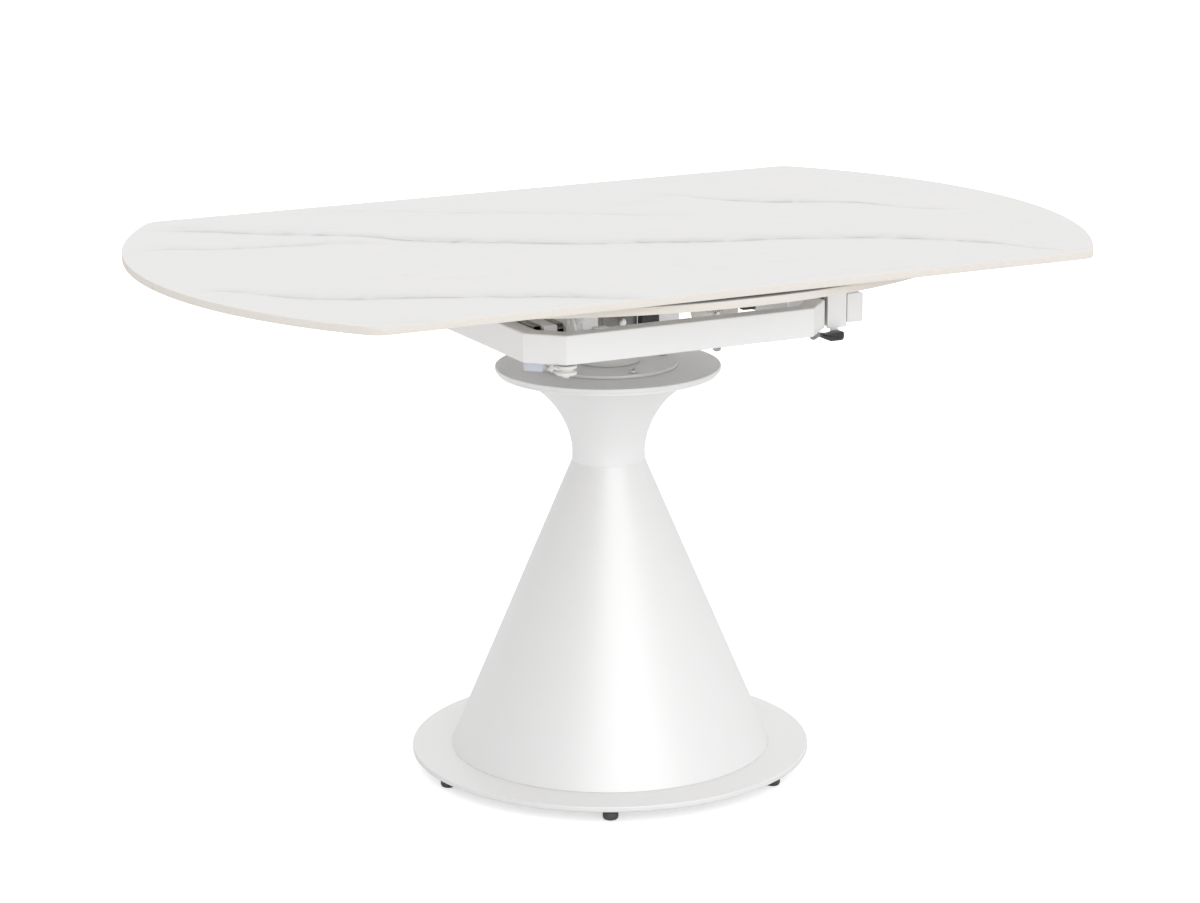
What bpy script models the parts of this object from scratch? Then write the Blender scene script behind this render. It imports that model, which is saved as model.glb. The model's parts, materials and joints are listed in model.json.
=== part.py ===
"""Extendable dining table: a stone top on a spun pedestal, with a sliding leaf stored under each long side.

The table stands on z = 0 with its long direction along X. The front leaf pulls out towards -Y and the back
leaf towards +Y. The back half of the mechanism is the front half turned half way round the vertical axis.
"""

import math

import bmesh
import bpy
from mathutils import Matrix, Vector

# Table top and leaves (metres)
TOP_RADIUS = 0.675
TOP_WIDTH = 0.840
TOP_HEIGHT = 0.768
TOP_THICKNESS = 0.0107
TOP_CORNER_RADIUS = 0.030
TOP_EDGE_ROUND = 0.0008
LEAF_THICKNESS = 0.0107
LEAF_TOP_GAP = 0.0039

# Faces round curved pieces
TOP_ARC_STEPS = 28
TOP_CORNER_STEPS = 6
LEAF_ARC_STEPS = 32
SHELL_STEPS = 64
DISC_STEPS = 48
HOLE_STEPS = 32
PIN_STEPS = 24
FOOT_STEPS = 18
SOCKET_STEPS = 16
BOLT_STEPS = 12
NUT_SIDES = 6

# Working clearances
TOUCH_GAP = 0.0003
BORE_CLEARANCE = 0.0003
CUT_OVERRUN = 0.010
WELD_DISTANCE = 0.000001
FLAT_ANGLE = 0.0001
TURN_MERGE_DISTANCE = 0.00001

# Pedestal, from the floor up
FOOT_COUNT = 6
FOOT_INSET = 0.0216
FIRST_FOOT_ANGLE = math.radians(-117)
FOOT_PAD_RADIUS = 0.011
FOOT_PAD_HEIGHT = 0.011
FOOT_PAD_CHAMFER = 0.001
FOOT_SOLE_INSET = 0.0015
FOOT_SOLE_HEIGHT = 0.002
FOOT_STUD_RADIUS = 0.004
FOOT_STUD_REACH = 0.0018
BASE_GROUND_CLEARANCE = 0.0165
BASE_THICKNESS = 0.0079
BASE_RADIUS = 0.2876
BASE_SKIN = 0.0009
BASE_EDGE_ROUND = 0.0012
DISC_EDGE_ROUND = 0.0006
CONE_FOOT_RADIUS = 0.2307
NECK_RADIUS = 0.052
NECK_LENGTH = 0.0125
NECK_LIP_HEIGHT = 0.004
NECK_STEP = 0.0004
FLARE_HEIGHT = 0.1152
FLARE_POWER = 1.8
FLARE_ANGLES = range(77, -1, -11)
RIM_STEP = 0.0034
RIM_THICKNESS = 0.004
SHELL_WALL = 0.003
FLANGE_RADIUS = 0.1604
FLANGE_THICKNESS = 0.0065
DISC_RADIUS = 0.100
DISC_THICKNESS = 0.0047
TIE_ROD_RADIUS = 0.006
TIE_HEAD_RADIUS = 0.010
TIE_HEAD_HEIGHT = 0.006
TIE_NUT_HEIGHT = 0.010
TIE_ROD_STAND = 0.016
DISC_BOLT_RADIUS = 0.003
DISC_BOLT_HEAD_RADIUS = 0.0056
DISC_BOLT_HEAD_HEIGHT = 0.0045
DISC_BOLT_HEAD_SIDE = 0.0018
DISC_BOLT_DOME_RADIUS = 0.0034
DISC_BOLT_DOME_DROP = 0.0004
DISC_BOLT_REACH = 0.002
DISC_BOLT_CIRCLE = 0.086
DISC_BOLT_COUNT = 4
FIRST_DISC_BOLT_ANGLE = math.radians(-93)

# Head of the pedestal
HEAD_SPACE = 0.083
COLUMN_RADIUS = 0.0437
COLUMN_WALL = 0.003
HEAD_PLATE_MARGIN = 0.010
HEAD_PLATE_SIDE_SPACE = 0.027
HEAD_PLATE_THICKNESS = 0.005
BEAM_WIDTH = 0.030
BEAM_HEIGHT = 0.026
BEAM_OVERHANG = 0.004
BEARER_LENGTH = 0.900
BEARER_WIDTH = 0.040
BEARER_LEAF_SPACE = 0.030
TUBE_WALL = 0.002

# Sliding frames
FRAME_HALF_WIDTH = 0.2635
FRAME_SETBACK = 0.104
FRAME_CORNER_CUT = 0.042
FRAME_TUBE_WIDTH = 0.025
FRAME_TUBE_HEIGHT = 0.040
CARRIER_WIDTH = 0.020
CARRIER_END_SPACE = 0.0345
SLIDE_SPACE = 0.0133
SLIDE_HEIGHT = 0.045
SLIDE_END_INSET = 0.0065
SLIDE_SHEET = 0.0012
INNER_SLIDE_HEIGHT = 0.033
INNER_SLIDE_INSET = 0.0040
SLIDE_LIP_INSET = 0.0016
CAGE_HEIGHT = 0.0386
CAGE_SHEET = 0.0008
CAGE_LIP_INSET = 0.0041
CAGE_END_SPACE = 0.0025
CAGE_STAND_OFF = 0.0005
END_PLATE_THICKNESS = 0.003
END_PLATE_MARGIN = 0.002
END_PLATE_SIDE_GAP = 0.003
END_LUG_WIDTH = 0.012

# Leaf lifters
LIFT_SPACE = 0.0357
LIFTER_SPREAD = 0.320
LIFTER_SHEET = 0.004
LUG_SHEET = 0.003
LUG_DEPTH = 0.023
LUG_BELOW_TOP = 0.017
LUG_ABOVE_TOP = 0.015
LUG_SINK = 0.001
PIVOT_RADIUS = 0.0025
PIVOT_PIN_STAND = 0.002
PIVOT_SETBACK = 0.012
PIVOT_RISE = 0.0085
LEAF_RAIL_LENGTH = 0.400
LEAF_RAIL_WIDTH = 0.060
LEAF_RAIL_THICKNESS = 0.003
LEAF_RAIL_OVERHANG = 0.022

# Small pieces under the sliding frames
PULLEY_RADIUS = 0.014
PULLEY_GROOVE_RADIUS = 0.0095
PULLEY_HEIGHT = 0.0125
PULLEY_WALL = 0.004
PULLEY_GROOVE_WALL = 0.005
PULLEY_OFFSET = 0.0055
PULLEY_DROP = 0.0015
PULLEY_BOLT_RADIUS = 0.003
PULLEY_NUT_RADIUS = 0.006
PULLEY_NUT_HEIGHT = 0.0045
PULLEY_BOLT_REACH = 0.006
PULLEY_BOLT_HOLE_DEPTH = 0.012
STOP_BLOCK_SIZE = (0.026, 0.014, 0.011)
STOP_BLOCK_SHIFT = 0.0132
STOP_BLOCK_EDGE_ROUND = 0.0006
LEVER_LENGTH = 0.036
LEVER_DEPTH = 0.0152
LEVER_HEIGHT = 0.012
LEVER_PIVOT_INSET = 0.0065
LEVER_EDGE_ROUND = 0.0008
LEVER_DROP = 0.0028
LEVER_PIN_HEAD = 0.004
LEVER_PIN_HEAD_HEIGHT = 0.0012
# Corners of the lever seen from the front, as shares of its length and height from its lower left
LEVER_CORNERS = ((0.0, 0.96), (0.10, 0.42), (0.42, 0.0), (0.90, 0.0), (1.0, 0.35), (1.0, 0.78), (0.93, 1.0),
                 (0.72, 1.0), (0.38, 0.84))

# Heights and places worked out from the sizes above
BASE_TOP = BASE_GROUND_CLEARANCE + BASE_THICKNESS
FOOT_CIRCLE_RADIUS = BASE_RADIUS - FOOT_INSET
TOP_UNDERSIDE = TOP_HEIGHT - TOP_THICKNESS
LEAF_UNDERSIDE = TOP_UNDERSIDE - LEAF_TOP_GAP - LEAF_THICKNESS
LEAF_TRAVEL = TOP_RADIUS - TOP_WIDTH / 2
LEAF_INNER_EDGE = TOP_WIDTH / 2 - LEAF_TRAVEL
FRAME_TOP = LEAF_UNDERSIDE - LIFT_SPACE
FRAME_BOTTOM = FRAME_TOP - FRAME_TUBE_HEIGHT
FRAME_MIDDLE = (FRAME_TOP + FRAME_BOTTOM) / 2
FRAME_FRONT = TOP_WIDTH / 2 - FRAME_SETBACK
FLANGE_TOP_HEIGHT = FRAME_BOTTOM - HEAD_SPACE
DISC_TOP = FLANGE_TOP_HEIGHT + TOUCH_GAP + DISC_THICKNESS
RIM_RADIUS = FLANGE_RADIUS - RIM_STEP
RIM_TOP = FLANGE_TOP_HEIGHT - FLANGE_THICKNESS - TOUCH_GAP
FLARE_START_HEIGHT = RIM_TOP - RIM_THICKNESS - FLARE_HEIGHT
CONE_TOP_HEIGHT = FLARE_START_HEIGHT - NECK_LENGTH
CARRIER_TOP = FRAME_MIDDLE + SLIDE_HEIGHT / 2
CARRIER_INNER = FRAME_HALF_WIDTH - FRAME_TUBE_WIDTH - SLIDE_SPACE - CARRIER_WIDTH
CARRIER_OUTER = CARRIER_INNER + CARRIER_WIDTH
CARRIER_LENGTH = 2 * (FRAME_FRONT - FRAME_TUBE_WIDTH - CARRIER_END_SPACE)
SLIDE_LENGTH = CARRIER_LENGTH - 2 * SLIDE_END_INSET
FRAME_NEAR_SIDE = CARRIER_INNER - SLIDE_SPACE
BEAM_OFFSET = LEAF_INNER_EDGE - BEARER_LEAF_SPACE - BEARER_WIDTH / 2
BEAM_BOTTOM = CARRIER_TOP + TOUCH_GAP
BEAM_TOP = BEAM_BOTTOM + BEAM_HEIGHT
HEAD_PLATE_LENGTH = 2 * (FRAME_NEAR_SIDE - FRAME_TUBE_WIDTH - HEAD_PLATE_SIDE_SPACE)
HEAD_PLATE_WIDTH = 2 * BEAM_OFFSET + BEAM_WIDTH + 2 * HEAD_PLATE_MARGIN
HEAD_PLATE_TOP = BEAM_BOTTOM - TOUCH_GAP
COLUMN_TOP = HEAD_PLATE_TOP - HEAD_PLATE_THICKNESS - TOUCH_GAP
LIFTER_CENTRE = (FRAME_NEAR_SIDE - FRAME_HALF_WIDTH) / 2
RAIL_UNDERSIDE = LEAF_UNDERSIDE - TOUCH_GAP - LEAF_RAIL_THICKNESS
LEAF_RAIL_FRONT = FRAME_FRONT + LEAF_RAIL_OVERHANG
PIVOT_Y = FRAME_TUBE_WIDTH + PIVOT_SETBACK - FRAME_FRONT
PIVOT_Z = FRAME_TOP + PIVOT_RISE


def clear_scene():
    for scene_object in list(bpy.data.objects):
        bpy.data.objects.remove(scene_object, do_unlink=True)


def make_collection(name, shown=True):
    collection = bpy.data.collections.new(name)
    bpy.context.scene.collection.children.link(collection)
    collection.hide_render = not shown
    return collection


def make_material(name, colour, roughness, metallic=0.0):
    material = bpy.data.materials.new(name)
    material.use_nodes = True
    surface = material.node_tree.nodes["Principled BSDF"]
    surface.inputs["Base Color"].default_value = (*colour, 1.0)
    surface.inputs["Roughness"].default_value = roughness
    surface.inputs["Metallic"].default_value = metallic
    return material


STONE = ((0.78, 0.77, 0.75), 0.45, 0.0)
WHITE_PAINT = ((0.85, 0.85, 0.86), 0.5, 0.0)
ZINC = ((0.62, 0.63, 0.65), 0.35, 1.0)
CHROME = ((0.75, 0.75, 0.77), 0.18, 1.0)
BLACK_PLASTIC = ((0.02, 0.02, 0.022), 0.5, 0.0)
WHITE_NYLON = ((0.88, 0.88, 0.86), 0.4, 0.0)
CLEAR_PLASTIC = ((0.62, 0.66, 0.75), 0.25, 0.0)


def place_part(part, name, look, parent=None, smooth=False):
    """Names the part, moves it into the table's collection and gives it a material of its own."""
    part.name = name
    part.data.name = name
    for collection in list(part.users_collection):
        collection.objects.unlink(part)
    table_parts.objects.link(part)
    part.data.materials.clear()
    part.data.materials.append(make_material(name, *look))
    part.parent = parent
    for face in part.data.polygons:
        face.use_smooth = smooth
    return part


def apply_scale(part):
    part.data.transform(Matrix.Diagonal((*part.scale, 1.0)))
    part.scale = (1, 1, 1)


def add_box(size, centre):
    bpy.ops.mesh.primitive_cube_add(size=1, location=centre)
    part = bpy.context.object
    part.scale = size
    apply_scale(part)
    return part


def add_cylinder(radius, low, high, centre=(0, 0), sides=HOLE_STEPS):
    """An upright cylinder between two heights."""
    middle = (centre[0], centre[1], (low + high) / 2)
    bpy.ops.mesh.primitive_cylinder_add(vertices=sides, radius=radius, depth=high - low, location=middle)
    return bpy.context.object


def add_pin(radius, start, end, sides=PIN_STEPS):
    """A cylinder between two points."""
    start, end = Vector(start), Vector(end)
    bpy.ops.mesh.primitive_cylinder_add(vertices=sides, radius=radius, depth=(end - start).length)
    part = bpy.context.object
    part.data.transform((end - start).to_track_quat("Z", "Y").to_matrix().to_4x4())
    part.location = (start + end) / 2
    return part


def add_prism(outline, thickness):
    """A flat outline in its own XY plane, from z = 0 to its thickness."""
    curve = bpy.data.curves.new("outline", "CURVE")
    curve.dimensions = "2D"
    curve.fill_mode = "BOTH"
    curve.extrude = thickness / 2
    spline = curve.splines.new("POLY")
    spline.points.add(len(outline) - 1)
    for point, (x, y) in zip(spline.points, outline):
        point.co = (x, y, 0, 1)
    spline.use_cyclic_u = True
    part = bpy.data.objects.new("outline", curve)
    bpy.context.scene.collection.objects.link(part)
    bpy.ops.object.select_all(action="DESELECT")
    bpy.context.view_layer.objects.active = part
    part.select_set(True)
    bpy.ops.object.convert(target="MESH")
    part = bpy.context.object
    mesh_edit = bmesh.new()
    mesh_edit.from_mesh(part.data)
    bmesh.ops.remove_doubles(mesh_edit, verts=mesh_edit.verts, dist=WELD_DISTANCE)
    bmesh.ops.dissolve_limit(mesh_edit, angle_limit=FLAT_ANGLE, verts=mesh_edit.verts, edges=mesh_edit.edges)
    bmesh.ops.translate(mesh_edit, verts=mesh_edit.verts, vec=(0, 0, thickness / 2))
    bmesh.ops.recalc_face_normals(mesh_edit, faces=mesh_edit.faces)
    mesh_edit.to_mesh(part.data)
    mesh_edit.free()
    return part


def add_turned(profile, steps, closed=False):
    """A profile of (radius, height) points, running down the outer side, turned round the Z axis."""
    mesh = bpy.data.meshes.new("profile")
    edges = [(index, index + 1) for index in range(len(profile) - 1)]
    if closed:
        edges.append((len(profile) - 1, 0))
    mesh.from_pydata([(radius, 0, height) for radius, height in profile], edges, [])
    part = bpy.data.objects.new("profile", mesh)
    bpy.context.scene.collection.objects.link(part)
    screw = part.modifiers.new("Turn", "SCREW")
    screw.steps = screw.render_steps = steps
    screw.use_merge_vertices = True
    screw.merge_threshold = TURN_MERGE_DISTANCE
    screw.use_smooth_shade = True
    return part


def combine(part, other, operation="DIFFERENCE"):
    """A Boolean of the part with another shape, which moves to the cutters' collection."""
    for collection in list(other.users_collection):
        collection.objects.unlink(other)
    cutters.objects.link(other)
    other.hide_render = True
    other.display_type = "WIRE"
    boolean = part.modifiers.new(operation.title(), "BOOLEAN")
    boolean.operation = operation
    boolean.solver = "EXACT"
    boolean.object = other
    return part


def with_parent(cutter, parent):
    """The cutter, hung on the same empty as the piece that it cuts."""
    cutter.parent = parent
    return cutter


def round_edges(part, width, segments=2, sharper_than=40):
    bevel = part.modifiers.new("Round", "BEVEL")
    bevel.width = width
    bevel.segments = segments
    bevel.limit_method = "ANGLE"
    bevel.angle_limit = math.radians(sharper_than)
    return part


def arc(centre, radius, start, end, steps):
    """Points of an arc between two angles, ends included."""
    points = []
    for step in range(steps + 1):
        angle = start + (end - start) * step / steps
        points.append((centre[0] + radius * math.cos(angle), centre[1] + radius * math.sin(angle)))
    return points


def offset_line(points, distance):
    """The open line moved to its left by a distance, with mitred corners."""
    directions = [(Vector(b) - Vector(a)).normalized() for a, b in zip(points, points[1:])]
    moved = []
    for index, point in enumerate(points):
        before = directions[max(index - 1, 0)]
        after = directions[min(index, len(directions) - 1)]
        normal = Vector((-before.y - after.y, before.x + after.x)).normalized()
        reach = distance / normal.dot(Vector((-before.y, before.x)))
        moved.append(tuple(Vector(point) + normal * reach))
    return moved


def top_outline():
    """The closed top: a circle cut by two straight sides, with rounded corners."""
    half_width = TOP_WIDTH / 2
    corner_y = half_width - TOP_CORNER_RADIUS
    corner_x = math.sqrt((TOP_RADIUS - TOP_CORNER_RADIUS) ** 2 - corner_y ** 2)
    turn = math.atan2(corner_y, corner_x)
    outline = []
    for middle in (0, math.pi):
        side = math.cos(middle)
        corners = [(corner_x * side, -corner_y * side), (corner_x * side, corner_y * side)]
        first, last = middle - math.pi / 2, middle + math.pi / 2
        outline += arc(corners[0], TOP_CORNER_RADIUS, first, middle - turn, TOP_CORNER_STEPS)[:-1]
        outline += arc((0, 0), TOP_RADIUS, middle - turn, middle + turn, TOP_ARC_STEPS)
        outline += arc(corners[1], TOP_CORNER_RADIUS, middle + turn, last, TOP_CORNER_STEPS)[1:]
    return outline


def leaf_outline():
    """A stored front leaf: the segment that the top's straight side cuts off, moved under the top."""
    half_angle = math.acos(TOP_WIDTH / 2 / TOP_RADIUS)
    start, end = -math.pi / 2 - half_angle, -math.pi / 2 + half_angle
    return arc((0, LEAF_TRAVEL), TOP_RADIUS, start, end, LEAF_ARC_STEPS)


def frame_outline():
    """Outer line of the front sliding frame, from the rear end of one arm to that of the other."""
    left, right, front = -FRAME_HALF_WIDTH, FRAME_NEAR_SIDE, -FRAME_FRONT
    return [
        (left, CARRIER_LENGTH / 2),
        (left, front + FRAME_CORNER_CUT),
        (left + FRAME_CORNER_CUT, front),
        (right - FRAME_CORNER_CUT, front),
        (right, front + FRAME_CORNER_CUT),
        (right, CARRIER_LENGTH / 2),
    ]


def band(outer, inset, width, overrun=0.0):
    """Closed outline of a strip that starts inset from the outer line and is this wide."""
    first = offset_line(outer, inset)
    second = offset_line(outer, inset + width)
    for line in (first, second):
        line[0] = (line[0][0], line[0][1] + overrun)
        line[-1] = (line[-1][0], line[-1][1] + overrun)
    return first + second[::-1]


def channel_outline(sheet, depth, height):
    """A channel section in (depth, height) with its web at depth 0."""
    half = height / 2
    return [
        (0, -half),
        (depth, -half),
        (depth, sheet - half),
        (sheet, sheet - half),
        (sheet, half - sheet),
        (depth, half - sheet),
        (depth, half),
        (0, half),
    ]


def add_channel(section, length, back):
    """A channel along Y with its web at x = back. It opens towards -X, or +X where the depths are below 0."""
    part = add_prism([(-depth, height) for depth, height in section], length)
    part.data.transform(Matrix.Rotation(math.pi / 2, 4, "X"))
    part.location = (back, length / 2, FRAME_MIDDLE)
    return part


def add_tube(size, centre, along):
    """A box tube along X (0) or Y (1), open at both ends."""
    part = add_box(size, centre)
    hollow = [side - 2 * TUBE_WALL for side in size]
    hollow[along] = size[along] + 2 * CUT_OVERRUN
    return part, add_box(hollow, centre)


def build_top():
    slab = add_prism(top_outline(), TOP_THICKNESS)
    slab.location.z = TOP_UNDERSIDE
    round_edges(slab, TOP_EDGE_ROUND, 1)
    place_part(slab, "table_top", STONE)
    height = TOP_UNDERSIDE - BEAM_TOP - 2 * TOUCH_GAP
    middle = BEAM_TOP + TOUCH_GAP + height / 2
    for name, side in (("front", -1), ("back", 1)):
        size = (BEARER_LENGTH, BEARER_WIDTH, height)
        bearer, hollow = add_tube(size, (0, side * BEAM_OFFSET, middle), 0)
        combine(bearer, hollow)
        place_part(bearer, f"{name}_top_bearer", WHITE_PAINT)


def on_circle(radius, first_angle, index, count):
    """The place of one of several pieces spaced evenly round the Z axis."""
    angle = first_angle + index * math.tau / count
    return radius * math.cos(angle), radius * math.sin(angle)


def add_foot(centre):
    """A levelling foot: a pad with a short stud."""
    stud_top = BASE_GROUND_CLEARANCE + FOOT_STUD_REACH
    profile = [
        (0, stud_top),
        (FOOT_STUD_RADIUS, stud_top),
        (FOOT_STUD_RADIUS, FOOT_PAD_HEIGHT),
        (FOOT_PAD_RADIUS - FOOT_PAD_CHAMFER, FOOT_PAD_HEIGHT),
        (FOOT_PAD_RADIUS, FOOT_PAD_HEIGHT - FOOT_PAD_CHAMFER),
        (FOOT_PAD_RADIUS, FOOT_SOLE_HEIGHT),
        (FOOT_PAD_RADIUS - FOOT_SOLE_INSET, 0),
        (0, 0),
    ]
    foot = add_turned(profile, FOOT_STEPS)
    foot.location = (*centre, 0)
    return foot


def build_base():
    base = add_cylinder(BASE_RADIUS, BASE_GROUND_CLEARANCE, BASE_TOP, sides=SHELL_STEPS)
    round_edges(base, BASE_EDGE_ROUND)
    cut_low = BASE_GROUND_CLEARANCE - CUT_OVERRUN
    combine(base, add_cylinder(TIE_ROD_RADIUS + BORE_CLEARANCE, cut_low, BASE_TOP + CUT_OVERRUN))
    socket_radius = FOOT_STUD_RADIUS + BORE_CLEARANCE
    for index in range(FOOT_COUNT):
        centre = on_circle(FOOT_CIRCLE_RADIUS, FIRST_FOOT_ANGLE, index, FOOT_COUNT)
        combine(base, add_cylinder(socket_radius, cut_low, BASE_TOP - BASE_SKIN, centre, SOCKET_STEPS))
        place_part(add_foot(centre), f"foot_{index + 1}", BLACK_PLASTIC)
    place_part(base, "base_plate", WHITE_PAINT)


def flare_radius(height):
    """Outer radius of the flare: a superellipse quarter from the neck out to the rim."""
    share = (height - FLARE_START_HEIGHT) / FLARE_HEIGHT
    swell = (1 - min(max(share, 0), 1) ** FLARE_POWER) ** (1 / FLARE_POWER)
    return RIM_RADIUS - (RIM_RADIUS - NECK_RADIUS) * swell


def thickened(outer):
    """Closed profile of a shell with this outer side."""
    return outer + [(radius - SHELL_WALL, height) for radius, height in reversed(outer)]


def build_pedestal():
    """The spun shells: a straight cone up to the neck, and a flare from there out to the flange."""
    lip_height = CONE_TOP_HEIGHT + NECK_LIP_HEIGHT
    cone_outer = [
        (NECK_RADIUS, lip_height),
        (NECK_RADIUS + NECK_STEP, CONE_TOP_HEIGHT),
        (CONE_FOOT_RADIUS, BASE_TOP + TOUCH_GAP),
    ]
    cone = add_turned(thickened(cone_outer), SHELL_STEPS, closed=True)
    place_part(cone, "pedestal_cone", WHITE_PAINT, smooth=True)

    flare_outer = [(RIM_RADIUS, RIM_TOP), (RIM_RADIUS, RIM_TOP - RIM_THICKNESS)]
    for angle in FLARE_ANGLES:
        height = FLARE_START_HEIGHT + FLARE_HEIGHT * math.sin(math.radians(angle))
        flare_outer.append((flare_radius(height), height))
    flare_outer.append((NECK_RADIUS, lip_height + TOUCH_GAP))
    flare_inner = [(radius - SHELL_WALL, height) for radius, height in flare_outer[2:]]
    flare_inner[0] = (flare_inner[0][0], RIM_TOP)
    flare = add_turned(flare_outer + flare_inner[::-1], SHELL_STEPS, closed=True)
    place_part(flare, "pedestal_flare", WHITE_PAINT, smooth=True)


def add_disc_bolt(centre, shank_low):
    """A bolt with a domed head that stands on the column's disc."""
    head_low = DISC_TOP + TOUCH_GAP
    head_top = head_low + DISC_BOLT_HEAD_HEIGHT
    profile = [
        (0, head_top),
        (DISC_BOLT_DOME_RADIUS, head_top - DISC_BOLT_DOME_DROP),
        (DISC_BOLT_HEAD_RADIUS, head_low + DISC_BOLT_HEAD_SIDE),
        (DISC_BOLT_HEAD_RADIUS, head_low),
        (DISC_BOLT_RADIUS, head_low),
        (DISC_BOLT_RADIUS, shank_low),
        (0, shank_low),
    ]
    bolt = add_turned(profile, BOLT_STEPS)
    bolt.location = (*centre, 0)
    return bolt


def build_flange():
    """The flange on the flare and the column's disc, bolted together."""
    flange_low = FLANGE_TOP_HEIGHT - FLANGE_THICKNESS
    flange = add_cylinder(FLANGE_RADIUS, flange_low, FLANGE_TOP_HEIGHT, sides=SHELL_STEPS)
    round_edges(flange, BASE_EDGE_ROUND)
    disc = add_cylinder(DISC_RADIUS, FLANGE_TOP_HEIGHT + TOUCH_GAP, DISC_TOP, sides=DISC_STEPS)
    round_edges(disc, DISC_EDGE_ROUND, 1)
    cut_low, cut_high = flange_low - CUT_OVERRUN, DISC_TOP + CUT_OVERRUN
    shank_low = flange_low - DISC_BOLT_REACH
    for plate in (flange, disc):
        combine(plate, add_cylinder(TIE_ROD_RADIUS + BORE_CLEARANCE, cut_low, cut_high))
    for index in range(DISC_BOLT_COUNT):
        centre = on_circle(DISC_BOLT_CIRCLE, FIRST_DISC_BOLT_ANGLE, index, DISC_BOLT_COUNT)
        for plate in (flange, disc):
            bore = DISC_BOLT_RADIUS + BORE_CLEARANCE
            combine(plate, add_cylinder(bore, cut_low, cut_high, centre, BOLT_STEPS))
        place_part(add_disc_bolt(centre, shank_low), f"disc_bolt_{index + 1}", CHROME)
    place_part(flange, "pedestal_flange", WHITE_PAINT)
    place_part(disc, "column_disc", WHITE_PAINT)


def build_tie_rod():
    """The long rod that pulls the base and the flange together, with its head below and its nut on top."""
    head_top = BASE_GROUND_CLEARANCE - TOUCH_GAP
    nut_low = DISC_TOP + TOUCH_GAP
    rod_top = nut_low + TIE_ROD_STAND
    profile = [
        (0, rod_top),
        (TIE_ROD_RADIUS, rod_top),
        (TIE_ROD_RADIUS, head_top),
        (TIE_HEAD_RADIUS, head_top),
        (TIE_HEAD_RADIUS, head_top - TIE_HEAD_HEIGHT),
        (0, head_top - TIE_HEAD_HEIGHT),
    ]
    place_part(add_turned(profile, PIN_STEPS), "tie_rod", ZINC)
    nut = add_cylinder(TIE_HEAD_RADIUS, nut_low, nut_low + TIE_NUT_HEIGHT, sides=NUT_SIDES)
    bore = TIE_ROD_RADIUS + BORE_CLEARANCE
    combine(nut, add_cylinder(bore, nut_low - CUT_OVERRUN, rod_top + CUT_OVERRUN, sides=PIN_STEPS))
    place_part(nut, "tie_nut", ZINC)


def build_head():
    """The column, its plate and the two crossbeams."""
    column_low = DISC_TOP + TOUCH_GAP
    column = add_cylinder(COLUMN_RADIUS, column_low, COLUMN_TOP, sides=DISC_STEPS)
    bore = COLUMN_RADIUS - COLUMN_WALL
    combine(column, add_cylinder(bore, column_low - CUT_OVERRUN, COLUMN_TOP + CUT_OVERRUN, sides=DISC_STEPS))
    place_part(column, "head_column", WHITE_PAINT)
    size = (HEAD_PLATE_LENGTH, HEAD_PLATE_WIDTH, HEAD_PLATE_THICKNESS)
    plate = add_box(size, (0, 0, HEAD_PLATE_TOP - HEAD_PLATE_THICKNESS / 2))
    place_part(plate, "head_plate", WHITE_PAINT)
    for name, side in (("front", -1), ("back", 1)):
        size = (2 * (CARRIER_OUTER + BEAM_OVERHANG), BEAM_WIDTH, BEAM_HEIGHT)
        beam, hollow = add_tube(size, (0, side * BEAM_OFFSET, BEAM_BOTTOM + BEAM_HEIGHT / 2), 0)
        combine(beam, hollow)
        place_part(beam, f"{name}_crossbeam", WHITE_PAINT)


def half_frame(name, half):
    """An empty that the back half's copy of each piece hangs on, turned half way round."""
    turned = bpy.data.objects.new(name, None)
    table_parts.objects.link(turned)
    turned.rotation_euler.z = {"front": 0, "back": math.pi}[half]
    return turned


def build_carrier(half):
    """The fixed half of the mechanism: a rail carrier with its end plate, lever and lever pin."""
    turned = half_frame(f"{half}_fixed", half)
    middle = (CARRIER_INNER + CARRIER_WIDTH / 2, 0, FRAME_MIDDLE)
    carrier, hollow = add_tube((CARRIER_WIDTH, CARRIER_LENGTH, SLIDE_HEIGHT), middle, 1)
    combine(carrier, with_parent(hollow, turned))
    side_name = {"front": "right", "back": "left"}[half]
    place_part(carrier, f"{side_name}_rail_carrier", WHITE_PAINT, turned)

    plate_low = FRAME_MIDDLE - SLIDE_HEIGHT / 2 - END_PLATE_MARGIN
    plate_back = -CARRIER_LENGTH / 2 - TOUCH_GAP
    lever_low = plate_low - LEVER_DROP - LEVER_HEIGHT
    pivot_x = CARRIER_INNER + LEVER_LENGTH / 2 - LEVER_PIVOT_INSET
    pivot_z = lever_low + LEVER_HEIGHT / 2
    lever_back = plate_back - END_PLATE_THICKNESS - TOUCH_GAP
    lever_front = lever_back - LEVER_DEPTH
    pivot_start = (pivot_x, lever_front - CUT_OVERRUN, pivot_z)
    pivot_end = (pivot_x, plate_back + CUT_OVERRUN, pivot_z)
    plate = add_end_plate(plate_low, plate_back, lever_low, pivot_x, turned)
    lever = add_lever((pivot_x - LEVER_LENGTH + LEVER_PIVOT_INSET, lever_back, lever_low))
    for piece in (plate, lever):
        combine(piece, with_parent(add_pin(PIVOT_RADIUS + BORE_CLEARANCE, pivot_start, pivot_end), turned))
    place_part(plate, f"{half}_end_plate", WHITE_PAINT, turned)
    place_part(lever, f"{half}_release_lever", BLACK_PLASTIC, turned)
    pin = add_lever_pin((pivot_x, lever_front - TOUCH_GAP, pivot_z), plate_back)
    place_part(pin, f"{half}_lever_pin", CHROME, turned)
    return turned


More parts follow.
